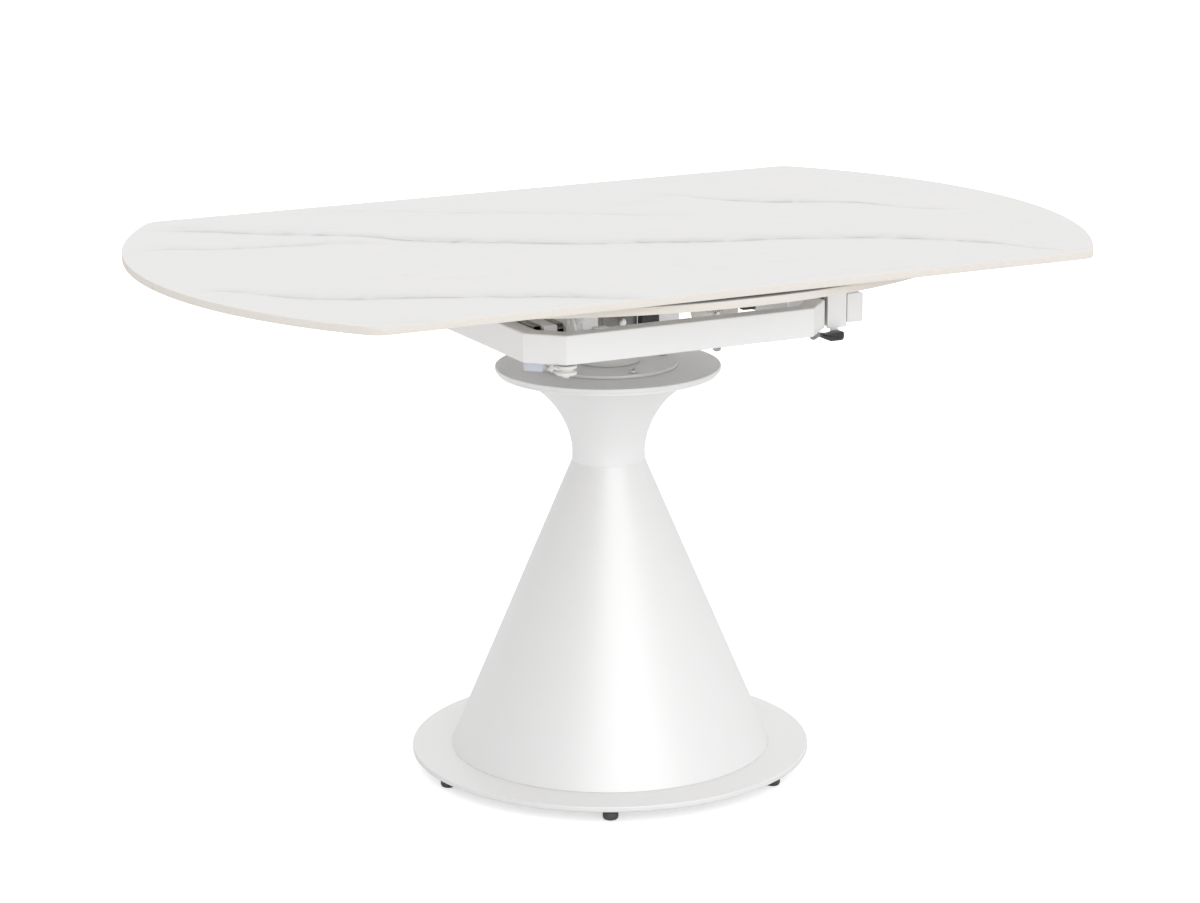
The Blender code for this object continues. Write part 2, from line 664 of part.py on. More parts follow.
def add_end_plate(low, back, lug_low, pivot_x, parent):
    """The plate on the carrier's front end, with a lug below it for the lever's pivot."""
    width = CARRIER_WIDTH + SLIDE_SPACE - END_PLATE_SIDE_GAP
    high = FRAME_MIDDLE + SLIDE_HEIGHT / 2 + END_PLATE_MARGIN
    middle_y = back - END_PLATE_THICKNESS / 2
    size = (width, END_PLATE_THICKNESS, high - low)
    plate = add_box(size, (CARRIER_INNER + width / 2, middle_y, (low + high) / 2))
    lug_high = low + LUG_SHEET
    lug_size = (END_LUG_WIDTH, END_PLATE_THICKNESS, lug_high - lug_low)
    lug = add_box(lug_size, (pivot_x, middle_y, (lug_low + lug_high) / 2))
    return combine(plate, with_parent(lug, parent), "UNION")


def add_lever(place):
    """The release lever, from its lower left rear corner."""
    outline = [(along * LEVER_LENGTH, up * LEVER_HEIGHT) for along, up in LEVER_CORNERS]
    lever = add_prism(outline, LEVER_DEPTH)
    lever.data.transform(Matrix.Rotation(math.pi / 2, 4, "X"))
    lever.location = place
    return round_edges(lever, LEVER_EDGE_ROUND)


def add_lever_pin(place, plate_back):
    """The lever's pivot pin, from its head in front to the end plate's back."""
    shank_end = place[1] - plate_back
    profile = [
        (0, LEVER_PIN_HEAD_HEIGHT),
        (LEVER_PIN_HEAD, LEVER_PIN_HEAD_HEIGHT),
        (LEVER_PIN_HEAD, 0),
        (PIVOT_RADIUS, 0),
        (PIVOT_RADIUS, shank_end),
        (0, shank_end),
    ]
    pin = add_turned(profile, PIN_STEPS)
    pin.rotation_euler.x = math.pi / 2
    pin.location = place
    return pin


def build_slides(half, fixed, extension, cages):
    """Two ball slides: the channel stays on the carrier and the inner member moves with the frame."""
    channel_section = channel_outline(SLIDE_SHEET, SLIDE_SPACE - SLIDE_LIP_INSET, SLIDE_HEIGHT)
    member_depth = SLIDE_SPACE - TOUCH_GAP - INNER_SLIDE_INSET
    member_section = channel_outline(SLIDE_SHEET, member_depth, INNER_SLIDE_HEIGHT)
    member_section = [(-depth, height) for depth, height in member_section]
    cage_depth = SLIDE_SPACE - SLIDE_SHEET - CAGE_STAND_OFF - CAGE_LIP_INSET
    cage_section = channel_outline(CAGE_SHEET, cage_depth, CAGE_HEIGHT)
    cage_length = SLIDE_LENGTH - LEAF_TRAVEL - 2 * CAGE_END_SPACE
    for side_name, carrier_face in (("left", -CARRIER_OUTER), ("right", CARRIER_INNER)):
        web = carrier_face - TOUCH_GAP
        channel = add_channel(channel_section, SLIDE_LENGTH, web)
        place_part(channel, f"{half}_{side_name}_slide_channel", ZINC, fixed)
        member = add_channel(member_section, SLIDE_LENGTH, carrier_face - SLIDE_SPACE + TOUCH_GAP)
        place_part(member, f"{half}_{side_name}_slide_member", ZINC, extension)
        cage = add_channel(cage_section, cage_length, web - SLIDE_SHEET - CAGE_STAND_OFF)
        place_part(cage, f"{half}_{side_name}_ball_cage", ZINC, cages)


def add_frame(pivots, pulley_place, extension):
    """The sliding frame: a bent box tube with two lugs for the lifters and a hole for the pulley's bolt."""
    outer = frame_outline()
    frame = add_prism(band(outer, 0, FRAME_TUBE_WIDTH), FRAME_TUBE_HEIGHT)
    frame.location.z = FRAME_BOTTOM
    lug_size = (LUG_SHEET, LUG_DEPTH + LUG_SINK, LUG_BELOW_TOP + LUG_ABOVE_TOP)
    lug_y = FRAME_TUBE_WIDTH - FRAME_FRONT + (LUG_DEPTH - LUG_SINK) / 2
    lug_z = FRAME_TOP + (LUG_ABOVE_TOP - LUG_BELOW_TOP) / 2
    for x in pivots:
        combine(frame, with_parent(add_box(lug_size, (x, lug_y, lug_z)), extension), "UNION")
    hollow_width = FRAME_TUBE_WIDTH - 2 * TUBE_WALL
    hollow_height = FRAME_TUBE_HEIGHT - 2 * TUBE_WALL
    hollow = add_prism(band(outer, TUBE_WALL, hollow_width, CUT_OVERRUN), hollow_height)
    hollow.location.z = FRAME_BOTTOM + TUBE_WALL
    combine(frame, with_parent(hollow, extension))
    for x in pivots:
        start, end = (x - CUT_OVERRUN, PIVOT_Y, PIVOT_Z), (x + CUT_OVERRUN, PIVOT_Y, PIVOT_Z)
        combine(frame, with_parent(add_pin(PIVOT_RADIUS + BORE_CLEARANCE, start, end), extension))
    hole_radius = PULLEY_BOLT_RADIUS + BORE_CLEARANCE
    hole_low, hole_high = FRAME_BOTTOM - CUT_OVERRUN, FRAME_BOTTOM + PULLEY_BOLT_HOLE_DEPTH
    bolt_hole = add_cylinder(hole_radius, hole_low, hole_high, pulley_place, PIN_STEPS)
    return combine(frame, with_parent(bolt_hole, extension))


def add_pulley(place):
    """The grooved guide pulley."""
    bore = PULLEY_BOLT_RADIUS + BORE_CLEARANCE
    profile = [
        (bore, PULLEY_HEIGHT),
        (PULLEY_RADIUS, PULLEY_HEIGHT),
        (PULLEY_RADIUS, PULLEY_HEIGHT - PULLEY_WALL),
        (PULLEY_GROOVE_RADIUS, PULLEY_HEIGHT - PULLEY_GROOVE_WALL),
        (PULLEY_GROOVE_RADIUS, PULLEY_GROOVE_WALL),
        (PULLEY_RADIUS, PULLEY_WALL),
        (PULLEY_RADIUS, 0),
        (bore, 0),
    ]
    pulley = add_turned(profile, PIN_STEPS, closed=True)
    pulley.location = place
    return pulley


def add_pulley_bolt(centre, nut_top):
    """The pulley's bolt: a shank up into the frame and a nut below the pulley."""
    shank_top = FRAME_BOTTOM + PULLEY_BOLT_REACH
    profile = [
        (0, shank_top),
        (PULLEY_BOLT_RADIUS, shank_top),
        (PULLEY_BOLT_RADIUS, nut_top),
        (PULLEY_NUT_RADIUS, nut_top),
        (PULLEY_NUT_RADIUS, nut_top - PULLEY_NUT_HEIGHT),
        (0, nut_top - PULLEY_NUT_HEIGHT),
    ]
    bolt = add_turned(profile, PIN_STEPS)
    bolt.location = (*centre, 0)
    return bolt


def add_stop_block():
    """The clear block under the frame's cut corner, turned with it and moved along it towards the arm."""
    corner = FRAME_CORNER_CUT / 2 + FRAME_TUBE_WIDTH / 2 / math.sqrt(2)
    block = add_box(STOP_BLOCK_SIZE, (0, 0, 0))
    block.rotation_euler.z = -math.pi / 4
    block.location = (
        corner - FRAME_HALF_WIDTH - STOP_BLOCK_SHIFT,
        corner - FRAME_FRONT + STOP_BLOCK_SHIFT,
        FRAME_BOTTOM - TOUCH_GAP - STOP_BLOCK_SIZE[2] / 2,
    )
    return round_edges(block, STOP_BLOCK_EDGE_ROUND)


def add_lifter(lug_x, extension):
    """A three-cornered arm from its pivot on the frame to the leaf rail, with its pivot pin."""
    start = lug_x + LUG_SHEET / 2 + TOUCH_GAP
    top = RAIL_UNDERSIDE - TOUCH_GAP - PIVOT_Z
    foot = 2 * PIVOT_RADIUS
    outline = [(foot, -foot), (foot, top), (-LEAF_RAIL_FRONT - PIVOT_Y, top), (-foot, -foot)]
    arm = add_prism(outline, LIFTER_SHEET)
    swap_axes = Matrix(((0, 0, 1, 0), (1, 0, 0, 0), (0, 1, 0, 0), (0, 0, 0, 1)))
    arm.data.transform(swap_axes)
    arm.location = (start, PIVOT_Y, PIVOT_Z)
    pin_start = (lug_x - LUG_SHEET / 2 - PIVOT_PIN_STAND, PIVOT_Y, PIVOT_Z)
    pin_end = (start + LIFTER_SHEET + PIVOT_PIN_STAND, PIVOT_Y, PIVOT_Z)
    return combine(arm, with_parent(add_pin(PIVOT_RADIUS, pin_start, pin_end), extension), "UNION")


def build_leaf(half, pivots, extension):
    """The stone leaf, the rail under it and the two arms that carry it."""
    leaf = add_prism(leaf_outline(), LEAF_THICKNESS)
    leaf.location.z = LEAF_UNDERSIDE
    round_edges(leaf, TOP_EDGE_ROUND, 1)
    place_part(leaf, f"{half}_leaf", STONE, extension)
    rail_size = (LEAF_RAIL_LENGTH, LEAF_RAIL_WIDTH, LEAF_RAIL_THICKNESS)
    rail_y = LEAF_RAIL_WIDTH / 2 - LEAF_RAIL_FRONT
    rail = add_box(rail_size, (LIFTER_CENTRE, rail_y, RAIL_UNDERSIDE + LEAF_RAIL_THICKNESS / 2))
    place_part(rail, f"{half}_leaf_rail", ZINC, extension)
    for side_name, x in zip(("left", "right"), pivots):
        place_part(add_lifter(x, extension), f"{half}_{side_name}_lift_arm", WHITE_PAINT, extension)


def build_extension(half):
    """The moving half of the mechanism: frame, leaf, and the small pieces below the frame."""
    extension = half_frame(f"{half}_extension", half)
    cages = half_frame(f"{half}_cages", half)
    pivots = [LIFTER_CENTRE - LIFTER_SPREAD / 2, LIFTER_CENTRE + LIFTER_SPREAD / 2]
    pulley_x = FRAME_CORNER_CUT + PULLEY_OFFSET - FRAME_HALF_WIDTH
    pulley_y = FRAME_TUBE_WIDTH / 2 - FRAME_FRONT
    pulley_low = FRAME_BOTTOM - PULLEY_DROP - PULLEY_HEIGHT
    frame = add_frame(pivots, (pulley_x, pulley_y), extension)
    place_part(frame, f"{half}_sliding_frame", WHITE_PAINT, extension)
    build_leaf(half, pivots, extension)
    pulley = add_pulley((pulley_x, pulley_y, pulley_low))
    place_part(pulley, f"{half}_guide_pulley", WHITE_NYLON, extension)
    bolt = add_pulley_bolt((pulley_x, pulley_y), pulley_low - TOUCH_GAP)
    place_part(bolt, f"{half}_pulley_bolt", CHROME, extension)
    place_part(add_stop_block(), f"{half}_stop_block", CLEAR_PLASTIC, extension)
    return extension, cages


def build_table():
    build_top()
    build_base()
    build_pedestal()
    build_flange()
    build_tie_rod()
    build_head()
    for half in ("front", "back"):
        fixed = build_carrier(half)
        extension, cages = build_extension(half)
        build_slides(half, fixed, extension, cages)


clear_scene()
table_parts = make_collection("extendable_dining_table")
cutters = make_collection("cutters", shown=False)
build_table()
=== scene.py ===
"""Looks of an extendable dining table: a marbled stone top on a spun steel pedestal.

The table stands on z = 0 with its long direction along X. The front leaf pulls out towards -Y and the back
leaf towards +Y. Every piece of the back half is the front half's piece turned half way round the Z axis.
Sizes are in metres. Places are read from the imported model's nodes.
"""

import json
import logging
import math
from dataclasses import dataclass
from enum import Enum

import bmesh
import bpy
import numpy as np
from mathutils import Euler, Matrix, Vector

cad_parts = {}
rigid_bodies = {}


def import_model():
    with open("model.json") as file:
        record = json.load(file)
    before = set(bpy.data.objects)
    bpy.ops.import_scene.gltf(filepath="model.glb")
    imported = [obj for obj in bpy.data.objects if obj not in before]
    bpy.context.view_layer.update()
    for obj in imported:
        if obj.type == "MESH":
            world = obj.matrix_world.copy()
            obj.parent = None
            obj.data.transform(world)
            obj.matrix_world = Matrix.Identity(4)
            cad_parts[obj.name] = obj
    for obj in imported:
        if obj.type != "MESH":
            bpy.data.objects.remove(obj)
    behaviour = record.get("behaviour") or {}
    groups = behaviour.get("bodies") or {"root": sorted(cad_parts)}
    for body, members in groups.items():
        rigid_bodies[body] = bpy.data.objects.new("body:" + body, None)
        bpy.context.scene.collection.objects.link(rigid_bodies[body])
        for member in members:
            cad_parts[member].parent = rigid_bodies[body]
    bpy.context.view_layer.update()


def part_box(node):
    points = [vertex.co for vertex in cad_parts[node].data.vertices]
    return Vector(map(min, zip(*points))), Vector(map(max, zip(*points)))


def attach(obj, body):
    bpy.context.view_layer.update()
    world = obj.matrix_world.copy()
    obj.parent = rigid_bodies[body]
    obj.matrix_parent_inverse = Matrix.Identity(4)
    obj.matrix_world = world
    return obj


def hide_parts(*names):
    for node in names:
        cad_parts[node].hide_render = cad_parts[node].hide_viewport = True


for startup_object in list(bpy.data.objects):
    bpy.data.objects.remove(startup_object)
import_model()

LOG = logging.getLogger("dining_table")
WELD_DISTANCE = 1e-6
SHARP_ANGLE = math.radians(32)
TURN_STEPS = 192
SMALL_TURN_STEPS = 40
ARC_STEPS = 4
ARC_LEAD = 0.3
EDGE_LEAD = 1.4
LEAST_COSINE = 0.3
LEAST_LENGTH = 1e-12
WIRE_STEPS = 8
SEAT_GAP = 0.0003
FIXED_BODY = "pedestal_and_top"
UP = np.array((0.0, 0.0, 1.0))

Vector3 = tuple[float, float, float]
Profile = list[tuple[float, float]]


class Half(Enum):
    """The two like halves of the mechanism."""

    FRONT = "front"
    BACK = "back"

    @property
    def turn(self) -> np.ndarray:
        """What x, y and z are multiplied by to bring a front piece to this half."""
        sign = 1.0 if self is Half.FRONT else -1.0
        return np.array((sign, sign, 1.0))


class Axis(Enum):
    """The direction along which a flat outline is thickened. Each holds the directions of (u, v, w)."""

    X = ((0, 1, 0), (0, 0, 1), (1, 0, 0))
    Y = ((1, 0, 0), (0, 0, 1), (0, 1, 0))
    Z = ((1, 0, 0), (0, 1, 0), (0, 0, 1))


@dataclass
class Surface:
    """Points and faces of a closed shape, with each point's share of bare edge."""

    points: np.ndarray
    faces: list[tuple[int, ...]]
    rim: np.ndarray | None = None

    def moved(self, offset: Vector3) -> "Surface":
        """The same shape at another place."""
        return Surface(self.points + np.array(offset), self.faces, self.rim)

    def turned(self, angle: float, axis: str = "Z") -> "Surface":
        """The same shape turned about one of the main axes."""
        matrix = np.array(Matrix.Rotation(angle, 3, axis))
        return Surface(self.points @ matrix.T, self.faces, self.rim)

    def laid(self, axis: Axis) -> "Surface":
        """The same shape with its height laid along another axis."""
        return Surface(self.points @ np.array(axis.value, float), self.faces, self.rim)

    def halved(self, half: Half) -> "Surface":
        """The same shape brought to the front or back half."""
        return Surface(self.points * half.turn, self.faces, self.rim)


def joined(surfaces: list[Surface]) -> Surface:
    """Puts several shapes into one.

    Args:
        surfaces: the shapes, each closed by itself.

    Returns:
        One surface that holds them all.
    """
    starts = np.cumsum([0] + [len(surface.points) for surface in surfaces])
    faces = [
        tuple(index + start for index in face)
        for surface, start in zip(surfaces, starts.tolist())
        for face in surface.faces
    ]
    rims = [np.zeros(len(s.points)) if s.rim is None else s.rim for s in surfaces]
    return Surface(np.concatenate([surface.points for surface in surfaces]), faces, np.concatenate(rims))


def grid_faces(rows: int, columns: int, wrap_rows: bool = False) -> list[tuple[int, ...]]:
    """Faces of a grid whose columns run round a closed loop.

    Args:
        rows: number of loops.
        columns: points on each loop.
        wrap_rows: whether the last loop joins the first.

    Returns:
        Four corners a face: a point, the next on its loop, and the same two on the next loop.
    """
    row, column = np.meshgrid(np.arange(rows if wrap_rows else rows - 1), np.arange(columns), indexing="ij")
    next_row, next_column = (row + 1) % rows, (column + 1) % columns
    corners = (row, column), (row, next_column), (next_row, next_column), (next_row, column)
    quads = np.stack([r * columns + c for r, c in corners], axis=-1)
    return list(map(tuple, quads.reshape(-1, 4).tolist()))


def unit(vectors: np.ndarray) -> np.ndarray:
    """Each vector divided by its length."""
    return vectors / np.maximum(np.linalg.norm(vectors, axis=-1, keepdims=True), LEAST_LENGTH)


def rounded(points: Profile, radii: float | list[float], steps: int = ARC_STEPS) -> np.ndarray:
    """A closed outline whose corners are arcs.

    An arc touches both sides of its corner at radius / tan(half the corner's angle) from it, and its centre
    lies on the corner's bisector at radius / sin(half the angle). One more point on each side of the arc
    keeps the flat stretch beside it flat when it is shaded.

    Args:
        points: the corners.
        radii: one radius for all the corners, or one for each.
        steps: straight pieces in each arc.

    Returns:
        The outline's points, without repeats.
    """
    corner = np.array(points, float)
    radius = np.broadcast_to(np.array(radii, float), len(corner))[:, None]
    before = unit(np.roll(corner, 1, axis=0) - corner)
    after = unit(np.roll(corner, -1, axis=0) - corner)
    half_angle = np.arccos(np.clip((before * after).sum(1, keepdims=True), -1, 1)) / 2
    reach = radius / np.tan(half_angle)
    centre = corner + unit(before + after) * radius / np.sin(half_angle)
    start, end = corner + before * reach - centre, corner + after * reach - centre
    first = np.arctan2(start[:, 1:], start[:, :1])
    sweep = (np.arctan2(end[:, 1:], end[:, :1]) - first + np.pi) % (2 * np.pi) - np.pi
    angle = first + sweep * np.linspace(0, 1, steps + 1)
    arcs = centre[:, None] + radius[:, None] * np.stack([np.cos(angle), np.sin(angle)], axis=-1)
    leads = [corner + side * (reach + radius * ARC_LEAD) for side in (before, after)]
    outline = np.concatenate([leads[0][:, None], arcs, leads[1][:, None]], axis=1).reshape(-1, 2)
    return outline[np.linalg.norm(outline - np.roll(outline, 1, axis=0), axis=1) > WELD_DISTANCE]


def rectangle(width: float, height: float, radius: float, centre: tuple[float, float] = (0, 0)) -> np.ndarray:
    """A rectangle with round corners.

    Args:
        width: size along the first direction.
        height: size along the second direction.
        radius: radius of the corners.
        centre: the middle.

    Returns:
        The outline's points.
    """
    x, y = width / 2, height / 2
    return rounded([(-x, -y), (x, -y), (x, y), (-x, y)], radius) + np.array(centre)


def regular(radius: float, sides: int, steps: int) -> np.ndarray:
    """A regular polygon, sampled at equal angles.

    Its reach is radius * cos(pi / sides) / cos(angle from the side's middle).

    Args:
        radius: distance from the centre to a corner.
        sides: number of sides, or 0 for a circle.
        steps: number of points.

    Returns:
        The outline's points.
    """
    angle = np.arange(steps) * 2 * np.pi / steps
    reach = np.full(steps, radius)
    if sides:
        from_middle = angle % (2 * np.pi / sides) - np.pi / sides
        reach = radius * np.cos(np.pi / sides) / np.cos(from_middle)
    return np.stack([reach * np.cos(angle), reach * np.sin(angle)], axis=-1)


def inset(outline: np.ndarray, distance: float) -> np.ndarray:
    """The closed outline moved inwards: each point goes along its bisector by distance / cos(half the turn).

    Args:
        outline: the points, in order.
        distance: how far the sides move.

    Returns:
        The moved points.
    """
    x, y = outline.T
    order = np.sign(np.sum(x * np.roll(y, -1) - np.roll(x, -1) * y))
    after = unit(np.roll(outline, -1, axis=0) - outline)
    before = np.roll(after, 1, axis=0)
    inward_before = np.stack([-before[:, 1], before[:, 0]], axis=-1) * order
    inward_after = np.stack([-after[:, 1], after[:, 0]], axis=-1) * order
    bisector = unit(inward_before + inward_after)
    cosine = (bisector * inward_after).sum(1, keepdims=True)
    return outline + bisector * distance / np.maximum(cosine, LEAST_COSINE)


def lofted(rings: list[tuple[np.ndarray, float]], rim: list[float] | None = None) -> Surface:
    """A closed shape through flat rings, one above another.

    Args:
        rings: each ring's outline and height, all with the same number of points.
        rim: each ring's share of bare edge.

    Returns:
        The surface, with its first and last ring closed.
    """
    count = len(rings[0][0])
    points = np.concatenate(
        [np.column_stack([outline, np.full(count, height)]) for outline, height in rings]
    )
    faces = grid_faces(len(rings), count)
    faces += [tuple(range(count))[::-1], tuple(range(len(points) - count, len(points)))]
    return Surface(points, faces, None if rim is None else np.repeat(rim, count))


def plate(outline: np.ndarray, low: float, high: float, edge: float, steps: int = ARC_STEPS) -> Surface:
    """A flat piece with quarter-round edges: at angle a the side is inset by edge * (1 - cos a).

    Args:
        outline: its outline seen from above.
        low: height of its underside.
        high: height of its upper side.
        edge: radius of its edges.
        steps: straight pieces in each quarter round.

    Returns:
        The closed surface. Its bare-edge share is 1 below the upper round.
    """
    angle = np.linspace(0, np.pi / 2, steps + 1)
    insets = edge * (1 - np.cos(angle))
    rises = edge * np.sin(angle)
    levels = [(edge * EDGE_LEAD, low)] + list(zip(insets[::-1], low + edge - rises[::-1]))
    levels += list(zip(insets, high - edge + rises)) + [(edge * EDGE_LEAD, high)]
    fading = [0.6, 0.0, 0.0]
    rim = [1.0] * (len(levels) - len(fading)) + fading
    return lofted([(inset(outline, distance), height) for distance, height in levels], rim)


def block(low: Vector3, high: Vector3, edge: float, corner: float | None = None) -> Surface:
    """A rectangular piece with round edges and corners.

    Args:
        low: its lowest corner.
        high: its highest corner.
        edge: radius of its upper and lower edges.
        corner: radius of its upright edges, the same as edge if left out.

    Returns:
        The closed surface.
    """
    size = np.subtract(high, low)
    centre = (np.add(high, low) / 2)[:2]
    return plate(rectangle(size[0], size[1], corner or edge, centre), low[2], high[2], edge)


def revolved(profile: np.ndarray | Profile, steps: int = SMALL_TURN_STEPS, ring: bool = False) -> Surface:
    """A profile turned about the Z axis: (radius, height) becomes (radius cos a, radius sin a, height).

    Args:
        profile: points of the profile. It starts and ends on the axis, unless it is a ring's section.
        steps: faces round the axis.
        ring: whether the profile closes on itself.

    Returns:
        The closed surface.
    """
    radius, height = np.array(profile, float).T
    angle = np.arange(steps) * 2 * np.pi / steps
    x, y = radius[:, None] * np.cos(angle), radius[:, None] * np.sin(angle)
    points = np.stack([x, y, np.broadcast_to(height[:, None], x.shape)], axis=-1)
    return Surface(points.reshape(-1, 3), grid_faces(len(radius), steps, ring))


def swept(section: np.ndarray, path: list[Vector3], inner: np.ndarray | None = None) -> Surface:
    """A section carried along a level path, mitred at the path's corners.

    At each point of the path the section's first direction is the path's sideways normal, lengthened by
    1 / cos(half the turn), and its second direction is upright.

    Args:
        section: closed outline of the section.
        path: the path's points.
        inner: outline of the hollow, with as many points as the section.

    Returns:
        The closed surface.
    """
    line = np.array(path, float)
    step = unit(np.diff(line, axis=0))
    before, after = np.vstack([step[:1], step]), np.vstack([step, step[-1:]])
    side = unit(np.cross(unit(before + after), UP))
    side = side / (side * unit(np.cross(before, UP))).sum(1, keepdims=True)
    rows, columns = len(line), len(section)
    shells = [section] if inner is None else [section, inner]
    points = [line[:, None] + side[:, None] * s[None, :, :1] + UP * s[None, :, 1:] for s in shells]
    faces = grid_faces(rows, columns)
    last = (rows - 1) * columns
    if inner is None:
        faces += [tuple(range(columns))[::-1], tuple(range(last, last + columns))]
    else:
        shift = rows * columns
        faces += [tuple(index + shift for index in face[::-1]) for face in grid_faces(rows, columns)]
        here, there = np.arange(columns), (np.arange(columns) + 1) % columns
        for start in (0, last):
            ends = [here + start, there + start, there + start + shift, here + start + shift]
            faces += list(map(tuple, np.stack(ends, axis=-1).tolist()))
    return Surface(np.concatenate([p.reshape(-1, 3) for p in points]), faces)


def straight(section: np.ndarray, start: float, end: float, inner: np.ndarray | None = None) -> Surface:
    """A section of (x, z) points carried along Y.

    Args:
        section: closed outline, in x and z.
        start: y of its first end.
        end: y of its last end.
        inner: outline of the hollow.

    Returns:
        The closed surface.
    """
    return swept(section, [(0, start, 0), (0, end, 0)], inner)


def coil(radius: float, wire: float, turns: float, length: float, steps: int = 20) -> Surface:
    """A coil spring about the Z axis.

    The wire's middle is (radius cos a, radius sin a, length * a / whole angle), and a point of the wire's
    round section is wire * (cos b outwards + sin b upwards) from it.

    Args:
        radius: radius of the wire's middle line.
        wire: half the wire's thickness.
        turns: number of turns.
        length: height of the coil.
        steps: points on each turn.

    Returns:
        The closed surface.
    """
    along = np.linspace(0, 1, int(turns * steps) + 1)[:, None]
    angle = along * turns * 2 * np.pi
    round_wire = np.arange(WIRE_STEPS)[None] * 2 * np.pi / WIRE_STEPS
    reach = radius + wire * np.cos(round_wire)
    height = along * length + wire * np.sin(round_wire)
    points = np.stack([reach * np.cos(angle), reach * np.sin(angle), height], axis=-1)
    rows, columns = points.shape[:2]
    faces = grid_faces(rows, columns)
    faces += [tuple(range(columns))[::-1], tuple(range((rows - 1) * columns, rows * columns))]
    return Surface(points.reshape(-1, 3), faces)


def hex_piece(radius: float, low: float, high: float) -> Surface:
    """A hexagonal nut or head with chamfered corners.

    Args:
        radius: distance from its axis to a corner.
        low: height of its underside.
        high: height of its upper side.

    Returns:
        The closed surface.
    """
    steps, chamfer_share = 48, 0.1
    cut = radius * chamfer_share
    flat = regular(radius, 6, steps)
    chamfer = regular(radius * (1 - chamfer_share), 0, steps)
    return lofted([(chamfer, low), (flat, low + cut), (flat, high - cut), (chamfer, high)])


def button_head(radius: float, low: float, high: float, shank: float, shank_low: float) -> Surface:
    """A domed bolt head with a six-sided socket, and its shank.

    The dome's radius is head radius * cos a and its height rises as sin a. The socket's ring is a hexagon.

    Args:
        radius: radius of the head.
        low: height of the head's underside.
        high: height of the head's top.
        shank: radius of the shank.
        shank_low: height of the shank's end.

    Returns:
        The closed surface.
    """
    steps, rise = 36, high - low
    dome_turn, dome_rows, dome_foot, dome_swell = 1.05, 6, 0.3, 0.8
    socket_width, socket_floor = 0.42, 0.35
    dome = [
        (regular(radius * math.cos(angle), 0, steps), low + rise * (dome_foot + dome_swell * math.sin(angle)))
        for angle in np.linspace(0, dome_turn, dome_rows)
    ]
    dome[-1] = (dome[-1][0], high)
    socket = regular(radius * socket_width, 6, steps)
    shank_ring, seat = regular(shank, 0, steps), regular(radius, 0, steps)
    rings = [(shank_ring, shank_low), (shank_ring, low), (seat, low)]
    return lofted(rings + dome + [(socket, high), (socket, low + rise * socket_floor)])


def corners(node: str) -> tuple[np.ndarray, np.ndarray]:
    """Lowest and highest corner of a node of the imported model."""
    low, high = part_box(node)
    return np.array(low), np.array(high)


def closed_mesh(name: str, shape: Surface) -> bpy.types.Mesh:
    """Makes a mesh of a shape, with doubled points merged and its faces turned outwards.

    Args:
        name: the mesh's name.
        shape: its surface.

    Returns:
        The mesh, which also holds each point's share of bare edge if the shape has it.
    """
    mesh = bpy.data.meshes.new(name)
    mesh.from_pydata(shape.points.tolist(), [], shape.faces)
    if shape.rim is not None:
        attribute = mesh.attributes.new("bare_edge", "FLOAT", "POINT")
        attribute.data.foreach_set("value", shape.rim.astype(np.float32))
    edit = bmesh.new()
    edit.from_mesh(mesh)
    bmesh.ops.remove_doubles(edit, verts=edit.verts, dist=WELD_DISTANCE)
    bmesh.ops.recalc_face_normals(edit, faces=edit.faces)
    edit.to_mesh(mesh)
    edit.free()
    return mesh


def make_piece(
    name: str, shape: Surface, finish: "Finish", body: str, replaces: tuple[str, ...] = ()
) -> bpy.types.Object:
    """Makes a shape an object of the table.

    Args:
        name: the piece's name.
        shape: its surface.
        finish: what it is made of.
        body: the body that it moves with.
        replaces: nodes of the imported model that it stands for.

    Returns:
        The finished object, with its place in its mesh.
    """
    mesh = closed_mesh(name, shape)
    mesh.shade_smooth()
    mesh.set_sharp_from_angle(angle=SHARP_ANGLE)
    piece = bpy.data.objects.new(name, mesh)
    bpy.context.scene.collection.objects.link(piece)
    mesh.materials.append(finish.material())
    if replaces:
        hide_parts(*replaces)
    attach(piece, body)
    LOG.info("%s: %d faces, on %s", name, len(mesh.polygons), body)
    return piece


def make_half(half: Half, pieces: list[tuple[str, Surface, "Finish", str, str | None]]) -> None:
    """Makes the pieces of one half, each built at the front half's place and then brought to this half.

    Args:
        half: the half they are for.
        pieces: each piece's name, shape, finish and body, and the node that it stands for, if any. The
            names of pieces and nodes are without the half's.
    """
    for name, shape, finish, body, node in pieces:
        nodes = (f"{half.value}_{node}",) if node else ()
        make_piece(f"{half.value}_{name}", shape.halved(half), finish, body, nodes)


